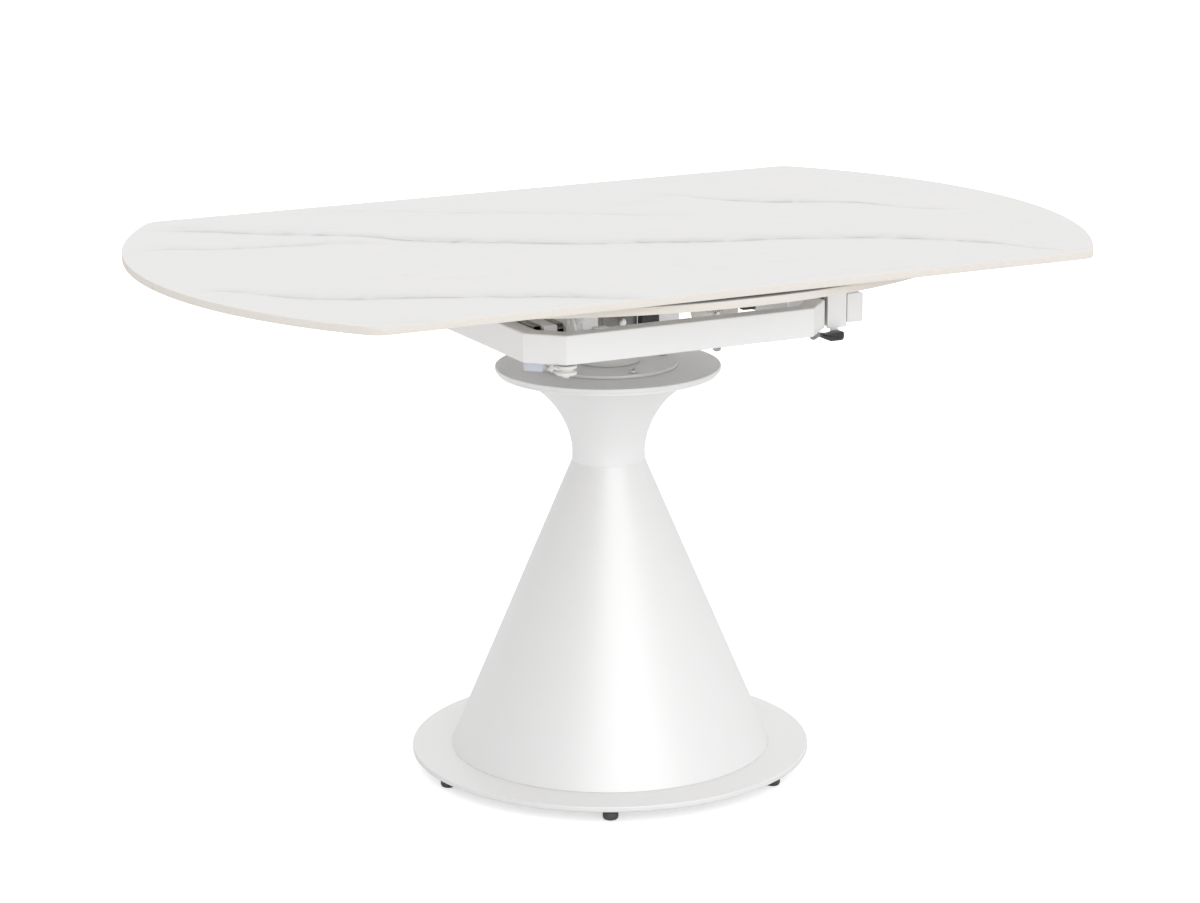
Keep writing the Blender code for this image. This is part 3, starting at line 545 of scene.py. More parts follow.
class Nodes:
    """Adds and joins the nodes of one tree."""

    def __init__(self, tree: bpy.types.NodeTree) -> None:
        """Keeps the tree."""
        self.tree = tree

    def join(self, socket: bpy.types.NodeSocket, value: object) -> None:
        """Links a value to a socket if it is a socket, or else sets it there.

        Args:
            socket: an input.
            value: an output, a number or a colour.
        """
        if isinstance(value, bpy.types.NodeSocket):
            self.tree.links.new(value, socket)
        else:
            socket.default_value = value

    def add(self, kind: str, inputs: dict | None = None, **settings: object) -> bpy.types.Node:
        """Adds a node.

        Args:
            kind: its type's name without the leading ShaderNode.
            inputs: values or outputs for its inputs, by name or number.
            settings: values of its properties.

        Returns:
            The node.
        """
        node = self.tree.nodes.new(f"ShaderNode{kind}")
        for key, value in settings.items():
            setattr(node, key, value)
        for key, value in (inputs or {}).items():
            self.join(node.inputs[key], value)
        return node

    def math(self, operation: str, *values: object) -> bpy.types.NodeSocket:
        """The result of a Math node on these values."""
        return self.add("Math", dict(enumerate(values)), operation=operation).outputs[0]

    def mix(self, share: object, first: object, second: object) -> bpy.types.NodeSocket:
        """The first colour going over to the second as the share goes from 0 to 1."""
        return self.add("Mix", {0: share, 6: first, 7: second}, data_type="RGBA").outputs[2]

    def noise(
        self, vector: object, scale: float, detail: float = 2.0, distortion: float = 0.0
    ) -> bpy.types.Node:
        """A Noise Texture node.

        Args:
            vector: its coordinates.
            scale: how many of its patches fit in a metre.
            detail: octaves of finer noise.
            distortion: how far it is stirred.

        Returns:
            The node.
        """
        inputs = {"Vector": vector, "Scale": scale, "Detail": detail, "Distortion": distortion}
        return self.add("TexNoise", inputs)

    def group(self, group: bpy.types.NodeTree, inputs: dict) -> bpy.types.Node:
        """Places a shader group.

        Args:
            group: the group.
            inputs: values or outputs for its inputs, by name.

        Returns:
            The node.
        """
        node = self.tree.nodes.new("ShaderNodeGroup")
        node.node_tree = group
        for key, value in inputs.items():
            self.join(node.inputs[key], value)
        return node


def new_group(name: str, inputs: dict[str, object], outputs: dict[str, str]) -> tuple[Nodes, dict, dict]:
    """Starts a shader group.

    Args:
        name: the group's name.
        inputs: each input's name, with a number for a value or None for a vector.
        outputs: each output's name, with its kind: Float, Color or Vector.

    Returns:
        Its nodes, its inputs' sockets inside the group and its outputs' sockets inside the group.
    """
    tree = bpy.data.node_groups.new(name, "ShaderNodeTree")
    for key, value in inputs.items():
        kind = "NodeSocketVector" if value is None else "NodeSocketFloat"
        socket = tree.interface.new_socket(name=key, in_out="INPUT", socket_type=kind)
        if value is not None:
            socket.default_value = value
    for key, kind in outputs.items():
        tree.interface.new_socket(name=key, in_out="OUTPUT", socket_type=f"NodeSocket{kind}")
    entry, leave = tree.nodes.new("NodeGroupInput"), tree.nodes.new("NodeGroupOutput")
    return Nodes(tree), entry.outputs, leave.inputs


class Effects:
    """Shader groups that several finishes use. Each is built once."""

    made: dict[str, bpy.types.NodeTree] = {}

    @classmethod
    def get(cls, name: str) -> bpy.types.NodeTree:
        """The group of this name, built on its first use.

        Args:
            name: the name of the method that builds it.

        Returns:
            The group.
        """
        if name not in cls.made:
            cls.made[name] = getattr(cls, name)()
        return cls.made[name]

    @staticmethod
    def surface_grain() -> bpy.types.NodeTree:
        """Fine grain of paint or moulded plastic: coarse orange peel under fine specks.

        Returns:
            A group that gives the grain's Height and its Shade, both about 0.5.
        """
        nodes, given, out = new_group(
            "surface_grain",
            {"Vector": None, "Peel": 420.0, "Speck": 1500.0},
            {"Height": "Float", "Shade": "Float"},
        )
        peel = nodes.noise(given["Vector"], given["Peel"], 1.0).outputs[0]
        speck = nodes.noise(given["Vector"], given["Speck"], 2.0).outputs[0]
        height = nodes.math("MULTIPLY_ADD", peel, 0.7, nodes.math("MULTIPLY", speck, 0.3))
        cloud = nodes.noise(given["Vector"], 7.0, 3.0).outputs[0]
        nodes.join(out["Height"], height)
        nodes.join(out["Shade"], nodes.math("MULTIPLY_ADD", cloud, 0.6, nodes.math("MULTIPLY", speck, 0.4)))
        return nodes.tree

    @staticmethod
    def drawn_lines() -> bpy.types.NodeTree:
        """Fine lines left on rolled or turned metal: a noise stretched along one direction.

        Returns:
            A group that gives the Lines, about 0.5, and larger Patches of stain.
        """
        nodes, given, out = new_group(
            "drawn_lines", {"Vector": None, "Fineness": 900.0}, {"Lines": "Float", "Patches": "Float"}
        )
        stretched = nodes.add("VectorMath", {0: given["Vector"], 1: (1.0, 0.03, 1.0)}, operation="MULTIPLY")
        nodes.join(out["Lines"], nodes.noise(stretched.outputs[0], given["Fineness"], 3.0).outputs[0])
        nodes.join(out["Patches"], nodes.noise(given["Vector"], 38.0, 4.0, 0.6).outputs[0])
        return nodes.tree

    @staticmethod
    def settled_dust() -> bpy.types.NodeTree:
        """A thin veil of dust on faces that look up: the upward share of the normal times a patchy noise.

        Returns:
            A group that gives the veil's Mask.
        """
        nodes, given, out = new_group("settled_dust", {"Vector": None, "Amount": 0.1}, {"Mask": "Float"})
        normal = nodes.add("NewGeometry").outputs["Normal"]
        upward = nodes.add("SeparateXYZ", {0: normal}).outputs[2]
        looking_up = nodes.add("MapRange", {"Value": upward, "From Min": 0.35, "From Max": 0.95}).outputs[0]
        patches = nodes.noise(given["Vector"], 16.0, 5.0, 0.4).outputs[0]
        veil = nodes.math("MULTIPLY", looking_up, nodes.math("MULTIPLY", patches, given["Amount"]))
        nodes.join(out["Mask"], veil)
        return nodes.tree

    @staticmethod
    def vein_line() -> bpy.types.NodeTree:
        """One marble vein: a soft band and a thin broken core beside a line y = path(x), fading at both ends.

        The core is 1 / (1 + (distance / width)^2). The band is the same squared, several times as wide, and
        wider on one side of the line. Both swell and break with a noise, and the mask is their sum times a
        smooth rise at the first x and a smooth fall at the last.

        Returns:
            A group that gives the vein's Mask.
        """
        nodes, given, out = new_group(
            "vein_line",
            {"Along": 0.0, "Across": 0.0, "Path": 0.0, "Width": 0.002, "Strength": 1.0, "First": -1.0,
             "Last": 1.0, "Swell": 0.5, "Broken": 0.5},
            {"Mask": "Float"},
        )
        distance = nodes.math("SUBTRACT", given["Across"], given["Path"])
        width = nodes.math("MULTIPLY", given["Width"], nodes.math("MULTIPLY_ADD", given["Swell"], 1.8, 0.1))
        core = nodes.math("DIVIDE", distance, width)
        core = nodes.math("DIVIDE", 1.0, nodes.math("MULTIPLY_ADD", core, core, 1.0))
        unbroken = {"Value": given["Broken"], "From Min": 0.40, "From Max": 0.62}
        whole = nodes.add("MapRange", unbroken).outputs[0]
        core = nodes.math("MULTIPLY", core, nodes.math("MULTIPLY_ADD", whole, 0.62, 0.10))
        one_sided = nodes.math("MULTIPLY_ADD", nodes.math("SIGN", distance), -0.55, 1.0)
        spread = nodes.math("MULTIPLY_ADD", given["Swell"], 14.0, 1.5)
        band_width = nodes.math("MULTIPLY", given["Width"], spread)
        band = nodes.math("DIVIDE", nodes.math("MULTIPLY", distance, one_sided), band_width)
        band = nodes.math("DIVIDE", 1.0, nodes.math("MULTIPLY_ADD", band, band, 1.0))
        band_shade = nodes.math("MULTIPLY_ADD", whole, 0.22, 0.14)
        band = nodes.math("MULTIPLY", nodes.math("POWER", band, 2.0), band_shade)
        both = nodes.math("ADD", core, band)
        fade_length = 0.12
        ends = None
        for start, step in ((given["First"], fade_length), (given["Last"], -fade_length)):
            inputs = {"Value": given["Along"], "From Min": start, "From Max": nodes.math("ADD", start, step)}
            end = nodes.add("MapRange", inputs, interpolation_type="SMOOTHSTEP").outputs[0]
            ends = end if ends is None else nodes.math("MULTIPLY", ends, end)
        faded = nodes.math("MULTIPLY", both, ends)
        nodes.join(out["Mask"], nodes.math("MULTIPLY", faded, given["Strength"]))
        return nodes.tree


class Finish:
    """What a piece is made of. Each finish makes its material once."""

    slot: str

    def material(self) -> bpy.types.Material:
        """This finish's material, made on its first use.

        Returns:
            The material.
        """
        name = self.title()
        found = bpy.data.materials.get(name)
        if found is None:
            found = bpy.data.materials.new(name)
            found.use_nodes = True
            nodes = Nodes(found.node_tree)
            shader = found.node_tree.nodes["Principled BSDF"]
            place = nodes.add("TexCoord").outputs["Object"]
            self.dress(nodes, shader, place)
        return found

    def title(self) -> str:
        """The material's name."""
        return self.slot

    def dress(self, nodes: Nodes, shader: bpy.types.Node, place: bpy.types.NodeSocket) -> None:
        """Joins the finish's nodes to its shader."""
        raise NotImplementedError


def bump(nodes: Nodes, height: bpy.types.NodeSocket, depth: float) -> bpy.types.NodeSocket:
    """The normal of a surface with this height, scaled to a depth in metres."""
    return nodes.add("Bump", {"Height": height, "Distance": depth, "Strength": 1.0}).outputs[0]


@dataclass(frozen=True)
class Vein:
    """One vein of the stone, as a line through a few points of the slab."""

    points: tuple[tuple[float, float], ...]
    width: float = 0.0016
    strength: float = 0.7


@dataclass(frozen=True)
class SinteredStone(Finish):
    """Matt near-white stone with soft grey veins and a bare, warmer edge."""

    name: str
    veins: tuple[Vein, ...]
    slot: str = "table_stone"
    face: tuple = (0.775, 0.765, 0.752, 1.0)
    cool: tuple = (0.748, 0.750, 0.752, 1.0)
    vein: tuple = (0.360, 0.360, 0.368, 1.0)
    edge: tuple = (0.800, 0.765, 0.720, 1.0)
    edge_dark: tuple = (0.700, 0.650, 0.590, 1.0)
    reach: float = 0.8
    bends: tuple[tuple[float, float, float, float], ...] = (
        (5.0, 3.0, 0.5, 0.050), (42.0, 4.0, 0.5, 0.008), (170.0, 3.0, 0.0, 0.0035),
    )
    relief: float = 0.00006

    def title(self) -> str:
        """The material's name."""
        return f"{self.slot}_{self.name}"

    def vein_path(self, nodes: Nodes, vein: Vein, along: bpy.types.NodeSocket) -> bpy.types.NodeSocket:
        """The line y = path(x) of a vein, as a smooth curve through its points.

        Args:
            nodes: the material's nodes.
            vein: the vein.
            along: x.

        Returns:
            y of the line.
        """
        share = nodes.math("MULTIPLY_ADD", along, 0.5 / self.reach, 0.5)
        node = nodes.add("FloatCurve", {"Value": share})
        curve = node.mapping.curves[0]
        ordered = sorted((x / self.reach / 2 + 0.5, y / self.reach / 2 + 0.5) for x, y in vein.points)
        while len(curve.points) < len(ordered) + 2:
            curve.points.new(0.5, 0.5)
        spots = [(0.0, ordered[0][1])] + ordered + [(1.0, ordered[-1][1])]
        for point, spot in zip(curve.points, spots):
            point.location = spot
            point.handle_type = "AUTO"
        node.mapping.update()
        return nodes.math("MULTIPLY_ADD", node.outputs[0], 2 * self.reach, -self.reach)

    def stirred(self, nodes: Nodes, place: bpy.types.NodeSocket) -> bpy.types.NodeSocket:
        """The coordinates pushed about by three noises, from broad bends to a fine fray.

        Each bend adds (noise - middle) * push. Its values are the noise's scale and detail, middle and push.

        Args:
            nodes: the material's nodes.
            place: Object coordinates.

        Returns:
            The stirred coordinates.
        """
        stirred = place
        for scale, detail, middle, push in self.bends:
            noise = nodes.noise(place, scale, detail).outputs[1]
            bend = nodes.add("VectorMath", {0: noise, 1: (middle,) * 3}, operation="SUBTRACT").outputs[0]
            bend = nodes.add("VectorMath", {0: bend, "Scale": push}, operation="SCALE").outputs[0]
            stirred = nodes.add("VectorMath", {0: stirred, 1: bend}, operation="ADD").outputs[0]
        return stirred

    def vein_mask(
        self, nodes: Nodes, place: bpy.types.NodeSocket, stirred: bpy.types.NodeSocket
    ) -> bpy.types.NodeSocket:
        """The strongest of all the veins at each point.

        Args:
            nodes: the material's nodes.
            place: Object coordinates.
            stirred: the stirred coordinates.

        Returns:
            The mask.
        """
        axes = nodes.add("SeparateXYZ", {0: stirred})
        swell = nodes.noise(place, 9.0, 4.0, 0.5).outputs[0]
        broken = nodes.noise(place, 15.0, 5.0, 1.2).outputs[0]
        mask = None
        for vein in self.veins:
            xs = [x for x, _ in vein.points]
            line = nodes.group(
                Effects.get("vein_line"),
                {"Along": axes.outputs[0], "Across": axes.outputs[1],
                 "Path": self.vein_path(nodes, vein, axes.outputs[0]), "Width": vein.width,
                 "Strength": vein.strength, "First": min(xs), "Last": max(xs), "Swell": swell,
                 "Broken": broken},
            )
            mask = line.outputs[0] if mask is None else nodes.math("MAXIMUM", mask, line.outputs[0])
        return mask

    def wisp_mask(
        self, nodes: Nodes, place: bpy.types.NodeSocket, stirred: bpy.types.NodeSocket
    ) -> bpy.types.NodeSocket:
        """Faint wisps between the veins: a slanting noise where it is near its middle, in patches.

        Args:
            nodes: the material's nodes.
            place: Object coordinates.
            stirred: the stirred coordinates.

        Returns:
            The mask.
        """
        slant = {"Vector": stirred, "Rotation": (0, 0, math.radians(38)), "Scale": (2.2, 9.0, 1.0)}
        wisps = nodes.noise(nodes.add("Mapping", slant).outputs[0], 1.3, 5.0, 0.8).outputs[0]
        from_middle = nodes.math("ABSOLUTE", nodes.math("SUBTRACT", wisps, 0.5))
        narrow = {"Value": from_middle, "From Min": 0.014, "From Max": 0.0, "To Max": 0.16}
        thin = nodes.add("MapRange", narrow).outputs[0]
        return nodes.math("MULTIPLY", thin, nodes.math("POWER", nodes.noise(place, 4.0).outputs[0], 2.0))

    def dress(self, nodes: Nodes, shader: bpy.types.Node, place: bpy.types.NodeSocket) -> None:
        """Joins the stone's nodes to its shader.

        Args:
            nodes: the material's nodes.
            shader: its Principled shader.
            place: Object coordinates.
        """
        stirred = self.stirred(nodes, place)
        wisps = self.wisp_mask(nodes, place, stirred)
        mask = nodes.math("MAXIMUM", self.vein_mask(nodes, place, stirred), wisps)
        clouds = nodes.noise(stirred, 6.0, 5.0).outputs[0]
        ground = nodes.mix(clouds, self.face, self.cool)
        speck = nodes.noise(place, 900.0, 2.0).outputs[0]
        coarse = {"Value": speck, "From Min": 0.62, "From Max": 0.75, "To Max": 0.07}
        ground = nodes.mix(nodes.add("MapRange", coarse).outputs[0], ground, self.vein)
        face = nodes.mix(mask, ground, self.vein)
        bare = nodes.add("Attribute", attribute_name="bare_edge", attribute_type="GEOMETRY").outputs["Fac"]
        body_grain = nodes.noise(place, 160.0, 5.0).outputs[0]
        edge = nodes.mix(nodes.math("MULTIPLY", body_grain, 0.6), self.edge, self.edge_dark)
        nodes.join(shader.inputs["Base Color"], nodes.mix(bare, face, edge))
        rough = nodes.math("MULTIPLY_ADD", clouds, 0.12, 0.50)
        nodes.join(shader.inputs["Roughness"], nodes.math("MULTIPLY_ADD", bare, 0.20, rough))
        grain = nodes.math("MULTIPLY_ADD", bare, body_grain, nodes.math("MULTIPLY", speck, 0.25))
        nodes.join(shader.inputs["Normal"], bump(nodes, grain, self.relief))
        shader.inputs["Specular IOR Level"].default_value = 0.35


@dataclass(frozen=True)
class PowderCoat(Finish):
    """Fine matt paint baked on steel."""

    slot: str = "white_powder_coat"
    light: tuple = (0.845, 0.845, 0.845, 1.0)
    dim: tuple = (0.800, 0.800, 0.802, 1.0)
    dust: tuple = (0.640, 0.625, 0.600, 1.0)
    dust_amount: float = 0.10
    peel_depth: float = 0.00010

    def dress(self, nodes: Nodes, shader: bpy.types.Node, place: bpy.types.NodeSocket) -> None:
        """Joins the paint's nodes to its shader.

        Args:
            nodes: the material's nodes.
            shader: its Principled shader.
            place: Object coordinates.
        """
        grain = nodes.group(Effects.get("surface_grain"), {"Vector": place})
        veil = nodes.group(Effects.get("settled_dust"), {"Vector": place, "Amount": self.dust_amount})
        paint = nodes.mix(grain.outputs["Shade"], self.light, self.dim)
        nodes.join(shader.inputs["Base Color"], nodes.mix(veil.outputs[0], paint, self.dust))
        rough = nodes.math("MULTIPLY_ADD", grain.outputs["Shade"], 0.16, 0.68)
        nodes.join(shader.inputs["Roughness"], rough)
        nodes.join(shader.inputs["Normal"], bump(nodes, grain.outputs["Height"], self.peel_depth))
        shader.inputs["Specular IOR Level"].default_value = 0.16


@dataclass(frozen=True)
class BareMetal(Finish):
    """Plated steel: zinc, or bright chromium on the fasteners."""

    slot: str
    bright: tuple
    stained: tuple
    roughness: float
    spread: float
    lines: float
    tone: str = "plain"

    def title(self) -> str:
        """The material's name."""
        return f"{self.slot}_{self.tone}"

    def dress(self, nodes: Nodes, shader: bpy.types.Node, place: bpy.types.NodeSocket) -> None:
        """Joins the metal's nodes to its shader.

        Args:
            nodes: the material's nodes.
            shader: its Principled shader.
            place: Object coordinates.
        """
        marks = nodes.group(Effects.get("drawn_lines"), {"Vector": place, "Fineness": self.lines})
        veil = nodes.group(Effects.get("settled_dust"), {"Vector": place, "Amount": 0.25})
        stain = nodes.add("MapRange", {"Value": marks.outputs["Patches"], "From Min": 0.42, "From Max": 0.68})
        metal = nodes.mix(stain.outputs[0], self.bright, self.stained)
        nodes.join(shader.inputs["Base Color"], nodes.mix(veil.outputs[0], metal, self.stained))
        rough = nodes.math("MULTIPLY_ADD", marks.outputs["Lines"], self.spread, self.roughness)
        nodes.join(shader.inputs["Roughness"], nodes.math("MULTIPLY_ADD", veil.outputs[0], 0.5, rough))
        nodes.join(shader.inputs["Normal"], bump(nodes, marks.outputs["Lines"], 0.00002))
        shader.inputs["Metallic"].default_value = 1.0


@dataclass(frozen=True)
class MouldedPlastic(Finish):
    """Moulded plastic with a fine eroded skin, opaque or clear."""

    slot: str
    colour: tuple
    scuffed: tuple
    roughness: float = 0.42
    clear: float = 0.0
    peel: float = 700.0
    name: str = "plain"

    def title(self) -> str:
        """The material's name."""
        return f"{self.slot}_{self.name}"

    def dress(self, nodes: Nodes, shader: bpy.types.Node, place: bpy.types.NodeSocket) -> None:
        """Joins the plastic's nodes to its shader.

        Args:
            nodes: the material's nodes.
            shader: its Principled shader.
            place: Object coordinates.
        """
        skin = {"Vector": place, "Peel": self.peel, "Speck": 2400.0}
        grain = nodes.group(Effects.get("surface_grain"), skin)
        veil = nodes.group(Effects.get("settled_dust"), {"Vector": place, "Amount": 0.3})
        scuff = nodes.math("MULTIPLY_ADD", grain.outputs["Shade"], 0.4, veil.outputs[0])
        nodes.join(shader.inputs["Base Color"], nodes.mix(scuff, self.colour, self.scuffed))
        rough = nodes.math("MULTIPLY_ADD", grain.outputs["Shade"], 0.2, self.roughness - 0.1)
        nodes.join(shader.inputs["Roughness"], rough)
        nodes.join(shader.inputs["Normal"], bump(nodes, grain.outputs["Height"], 0.00008))
        shader.inputs["Transmission Weight"].default_value = self.clear


WHITE_PAINT = PowderCoat()
ZINC = BareMetal("zinc_plated_steel", (0.62, 0.61, 0.59, 1), (0.50, 0.46, 0.38, 1), 0.24, 0.22, 1100.0)
GOLDEN_ZINC = BareMetal(
    "zinc_plated_steel", (0.72, 0.62, 0.36, 1), (0.55, 0.47, 0.33, 1), 0.26, 0.20, 1000.0, "golden"
)
SLIDE_STEEL = BareMetal(
    "zinc_plated_steel", (0.40, 0.40, 0.365, 1), (0.28, 0.27, 0.225, 1), 0.24, 0.20, 1100.0, "slide"
)
# Zinc-plated steel darkened as painted shade: the lock gear's bracket is bare zinc-plated steel, and this
# darker tone paints in the shade that falls on it under the head plate.
PAINTED_SHADE_STEEL = BareMetal(
    "zinc_plated_steel", (0.26, 0.255, 0.25, 1), (0.17, 0.155, 0.14, 1), 0.34, 0.20, 800.0, "dark"
)
CHROME = BareMetal("chromed_fasteners", (0.78, 0.78, 0.80, 1), (0.62, 0.61, 0.60, 1), 0.10, 0.12, 1600.0)
# Chrome darkened as painted shade, for the screw that sits in the shade under the frame's front bar.
PAINTED_SHADE_CHROME = BareMetal(
    "chromed_fasteners", (0.42, 0.42, 0.44, 1), (0.30, 0.29, 0.29, 1), 0.14, 0.14, 1600.0, "dark"
)
FOOT_PLASTIC = MouldedPlastic("foot_plastic", (0.060, 0.060, 0.064, 1), (0.17, 0.17, 0.18, 1))
LEVER_PLASTIC = MouldedPlastic("lever_plastic", (0.018, 0.018, 0.020, 1), (0.09, 0.09, 0.10, 1), 0.38)
SMOKED_PLASTIC = MouldedPlastic(
    "lever_plastic", (0.20, 0.22, 0.25, 1), (0.34, 0.36, 0.39, 1), 0.34, name="smoked"
)
NYLON = MouldedPlastic("nylon", (0.83, 0.82, 0.80, 1), (0.70, 0.69, 0.66, 1), 0.45, 0.0, 500.0)
CLEAR_PLASTIC = MouldedPlastic(
    "clear_plastic", (0.74, 0.78, 0.87, 1), (0.86, 0.89, 0.94, 1), 0.24, 0.30, 300.0
)


@dataclass
class StoneTop:
    """The fixed top and the two leaves stored under its long sides."""

    edge: float = 0.0011
    corner_steps: int = 14
    arc_steps: int = 120
    corner_radius: float = 0.030
    top_veins: tuple[Vein, ...] = (
        Vein(((-0.56, 0.34), (-0.38, 0.225), (-0.24, 0.085), (-0.07, -0.03), (0.12, -0.105), (0.30, -0.185),
              (0.41, -0.275), (0.52, -0.41)), 0.0019, 0.85),
        Vein(((-0.65, 0.18), (-0.585, 0.195), (-0.52, 0.17), (-0.33, 0.115), (-0.26, 0.075)), 0.0014, 0.62),
        Vein(((-0.67, -0.085), (-0.61, -0.12), (-0.55, -0.19), (-0.38, -0.285), (-0.24, -0.355),
              (-0.12, -0.42)), 0.0017, 0.8),
        Vein(((-0.56, -0.37), (-0.48, -0.403), (-0.42, -0.42)), 0.0012, 0.5),
        Vein(((-0.30, 0.38), (-0.08, 0.265), (0.15, 0.11), (0.22, 0.04)), 0.0012, 0.30),
        Vein(((0.20, 0.33), (0.235, 0.28), (0.30, 0.17), (0.455, 0.06), (0.485, 0.005), (0.58, -0.065)),
             0.0018, 0.8),
        Vein(((0.34, 0.28), (0.385, 0.23), (0.43, 0.12), (0.48, 0.05)), 0.0012, 0.42),
        Vein(((-0.05, -0.04), (-0.02, -0.10), (0.018, -0.16), (0.05, -0.26)), 0.0010, 0.32),
        Vein(((0.20, 0.05), (0.27, -0.035), (0.30, -0.12), (0.33, -0.20)), 0.0012, 0.36),
    )
    front_veins: tuple[Vein, ...] = (
        Vein(((-0.50, -0.19), (-0.25, -0.26), (0.05, -0.33), (0.22, -0.40)), 0.0016, 0.75),
        Vein(((0.10, -0.17), (0.30, -0.21), (0.46, -0.30)), 0.0012, 0.5),
    )
    back_veins: tuple[Vein, ...] = (
        Vein(((-0.40, 0.32), (-0.15, 0.27), (0.15, 0.20), (0.45, 0.17)), 0.0016, 0.7),
        Vein(((-0.10, 0.41), (0.10, 0.33), (0.30, 0.27)), 0.0012, 0.45),
    )

    def top_outline(self, radius: float, half_width: float) -> np.ndarray:
        """A circle cut by two straight sides, with round corners that touch both.

        A corner's centre is half_width - r from the long middle line and radius - r from the centre.

        Args:
            radius: radius of the round ends.
            half_width: distance of the straight sides from the middle.

        Returns:
            The outline's points.
        """
        small = self.corner_radius
        centre_y = half_width - small
        centre_x = math.sqrt((radius - small) ** 2 - centre_y**2)
        turn = math.atan2(centre_y, centre_x)
        corner = np.linspace(turn, np.pi / 2, self.corner_steps)[1:]
        end = np.linspace(-turn, turn, self.arc_steps)
        upper = np.stack([centre_x + small * np.cos(corner), centre_y + small * np.sin(corner)], axis=-1)
        round_end = radius * np.stack([np.cos(end), np.sin(end)], axis=-1)
        right_side = np.concatenate([upper[::-1] * (1, -1), round_end, upper])
        return np.concatenate([right_side, -right_side])

    def leaf_outline(self, radius: float, half_chord: float, chord_y: float) -> np.ndarray:
        """A leaf: the round stretch of a circle that a straight side cuts off.

        Args:
            radius: radius of the circle.
            half_chord: half the straight side's length.
            chord_y: y of the straight side.

        Returns:
            The outline's points, for the front leaf.
        """
        half_angle = math.asin(half_chord / radius)
        angle = np.linspace(-half_angle, half_angle, self.arc_steps)
        centre_y = chord_y + radius * math.cos(half_angle)
        return np.stack([radius * np.sin(angle), centre_y - radius * np.cos(angle)], axis=-1)

    def build(self) -> None:
        """Makes the top and both leaves and dresses them."""
        low, high = corners("table_top")
        outline = self.top_outline(high[0], high[1])
        top = plate(outline, low[2], high[2], self.edge)
        stone = SinteredStone("top", self.top_veins)
        make_piece("stone_top", top, stone, FIXED_BODY, ("table_top",))
        low, high = corners("front_leaf")
        half_chord, depth = high[0], high[1] - low[1]
        radius = (half_chord**2 + depth**2) / (2 * depth)
        shape = plate(self.leaf_outline(radius, half_chord, high[1]), low[2], high[2], self.edge)
        for half, veins in ((Half.FRONT, self.front_veins), (Half.BACK, self.back_veins)):
            name, leaf = half.value, shape.halved(half)
            stone = SinteredStone(name, veins)
            make_piece(f"{name}_stone_leaf", leaf, stone, f"{name}_extension", (f"{name}_leaf",))


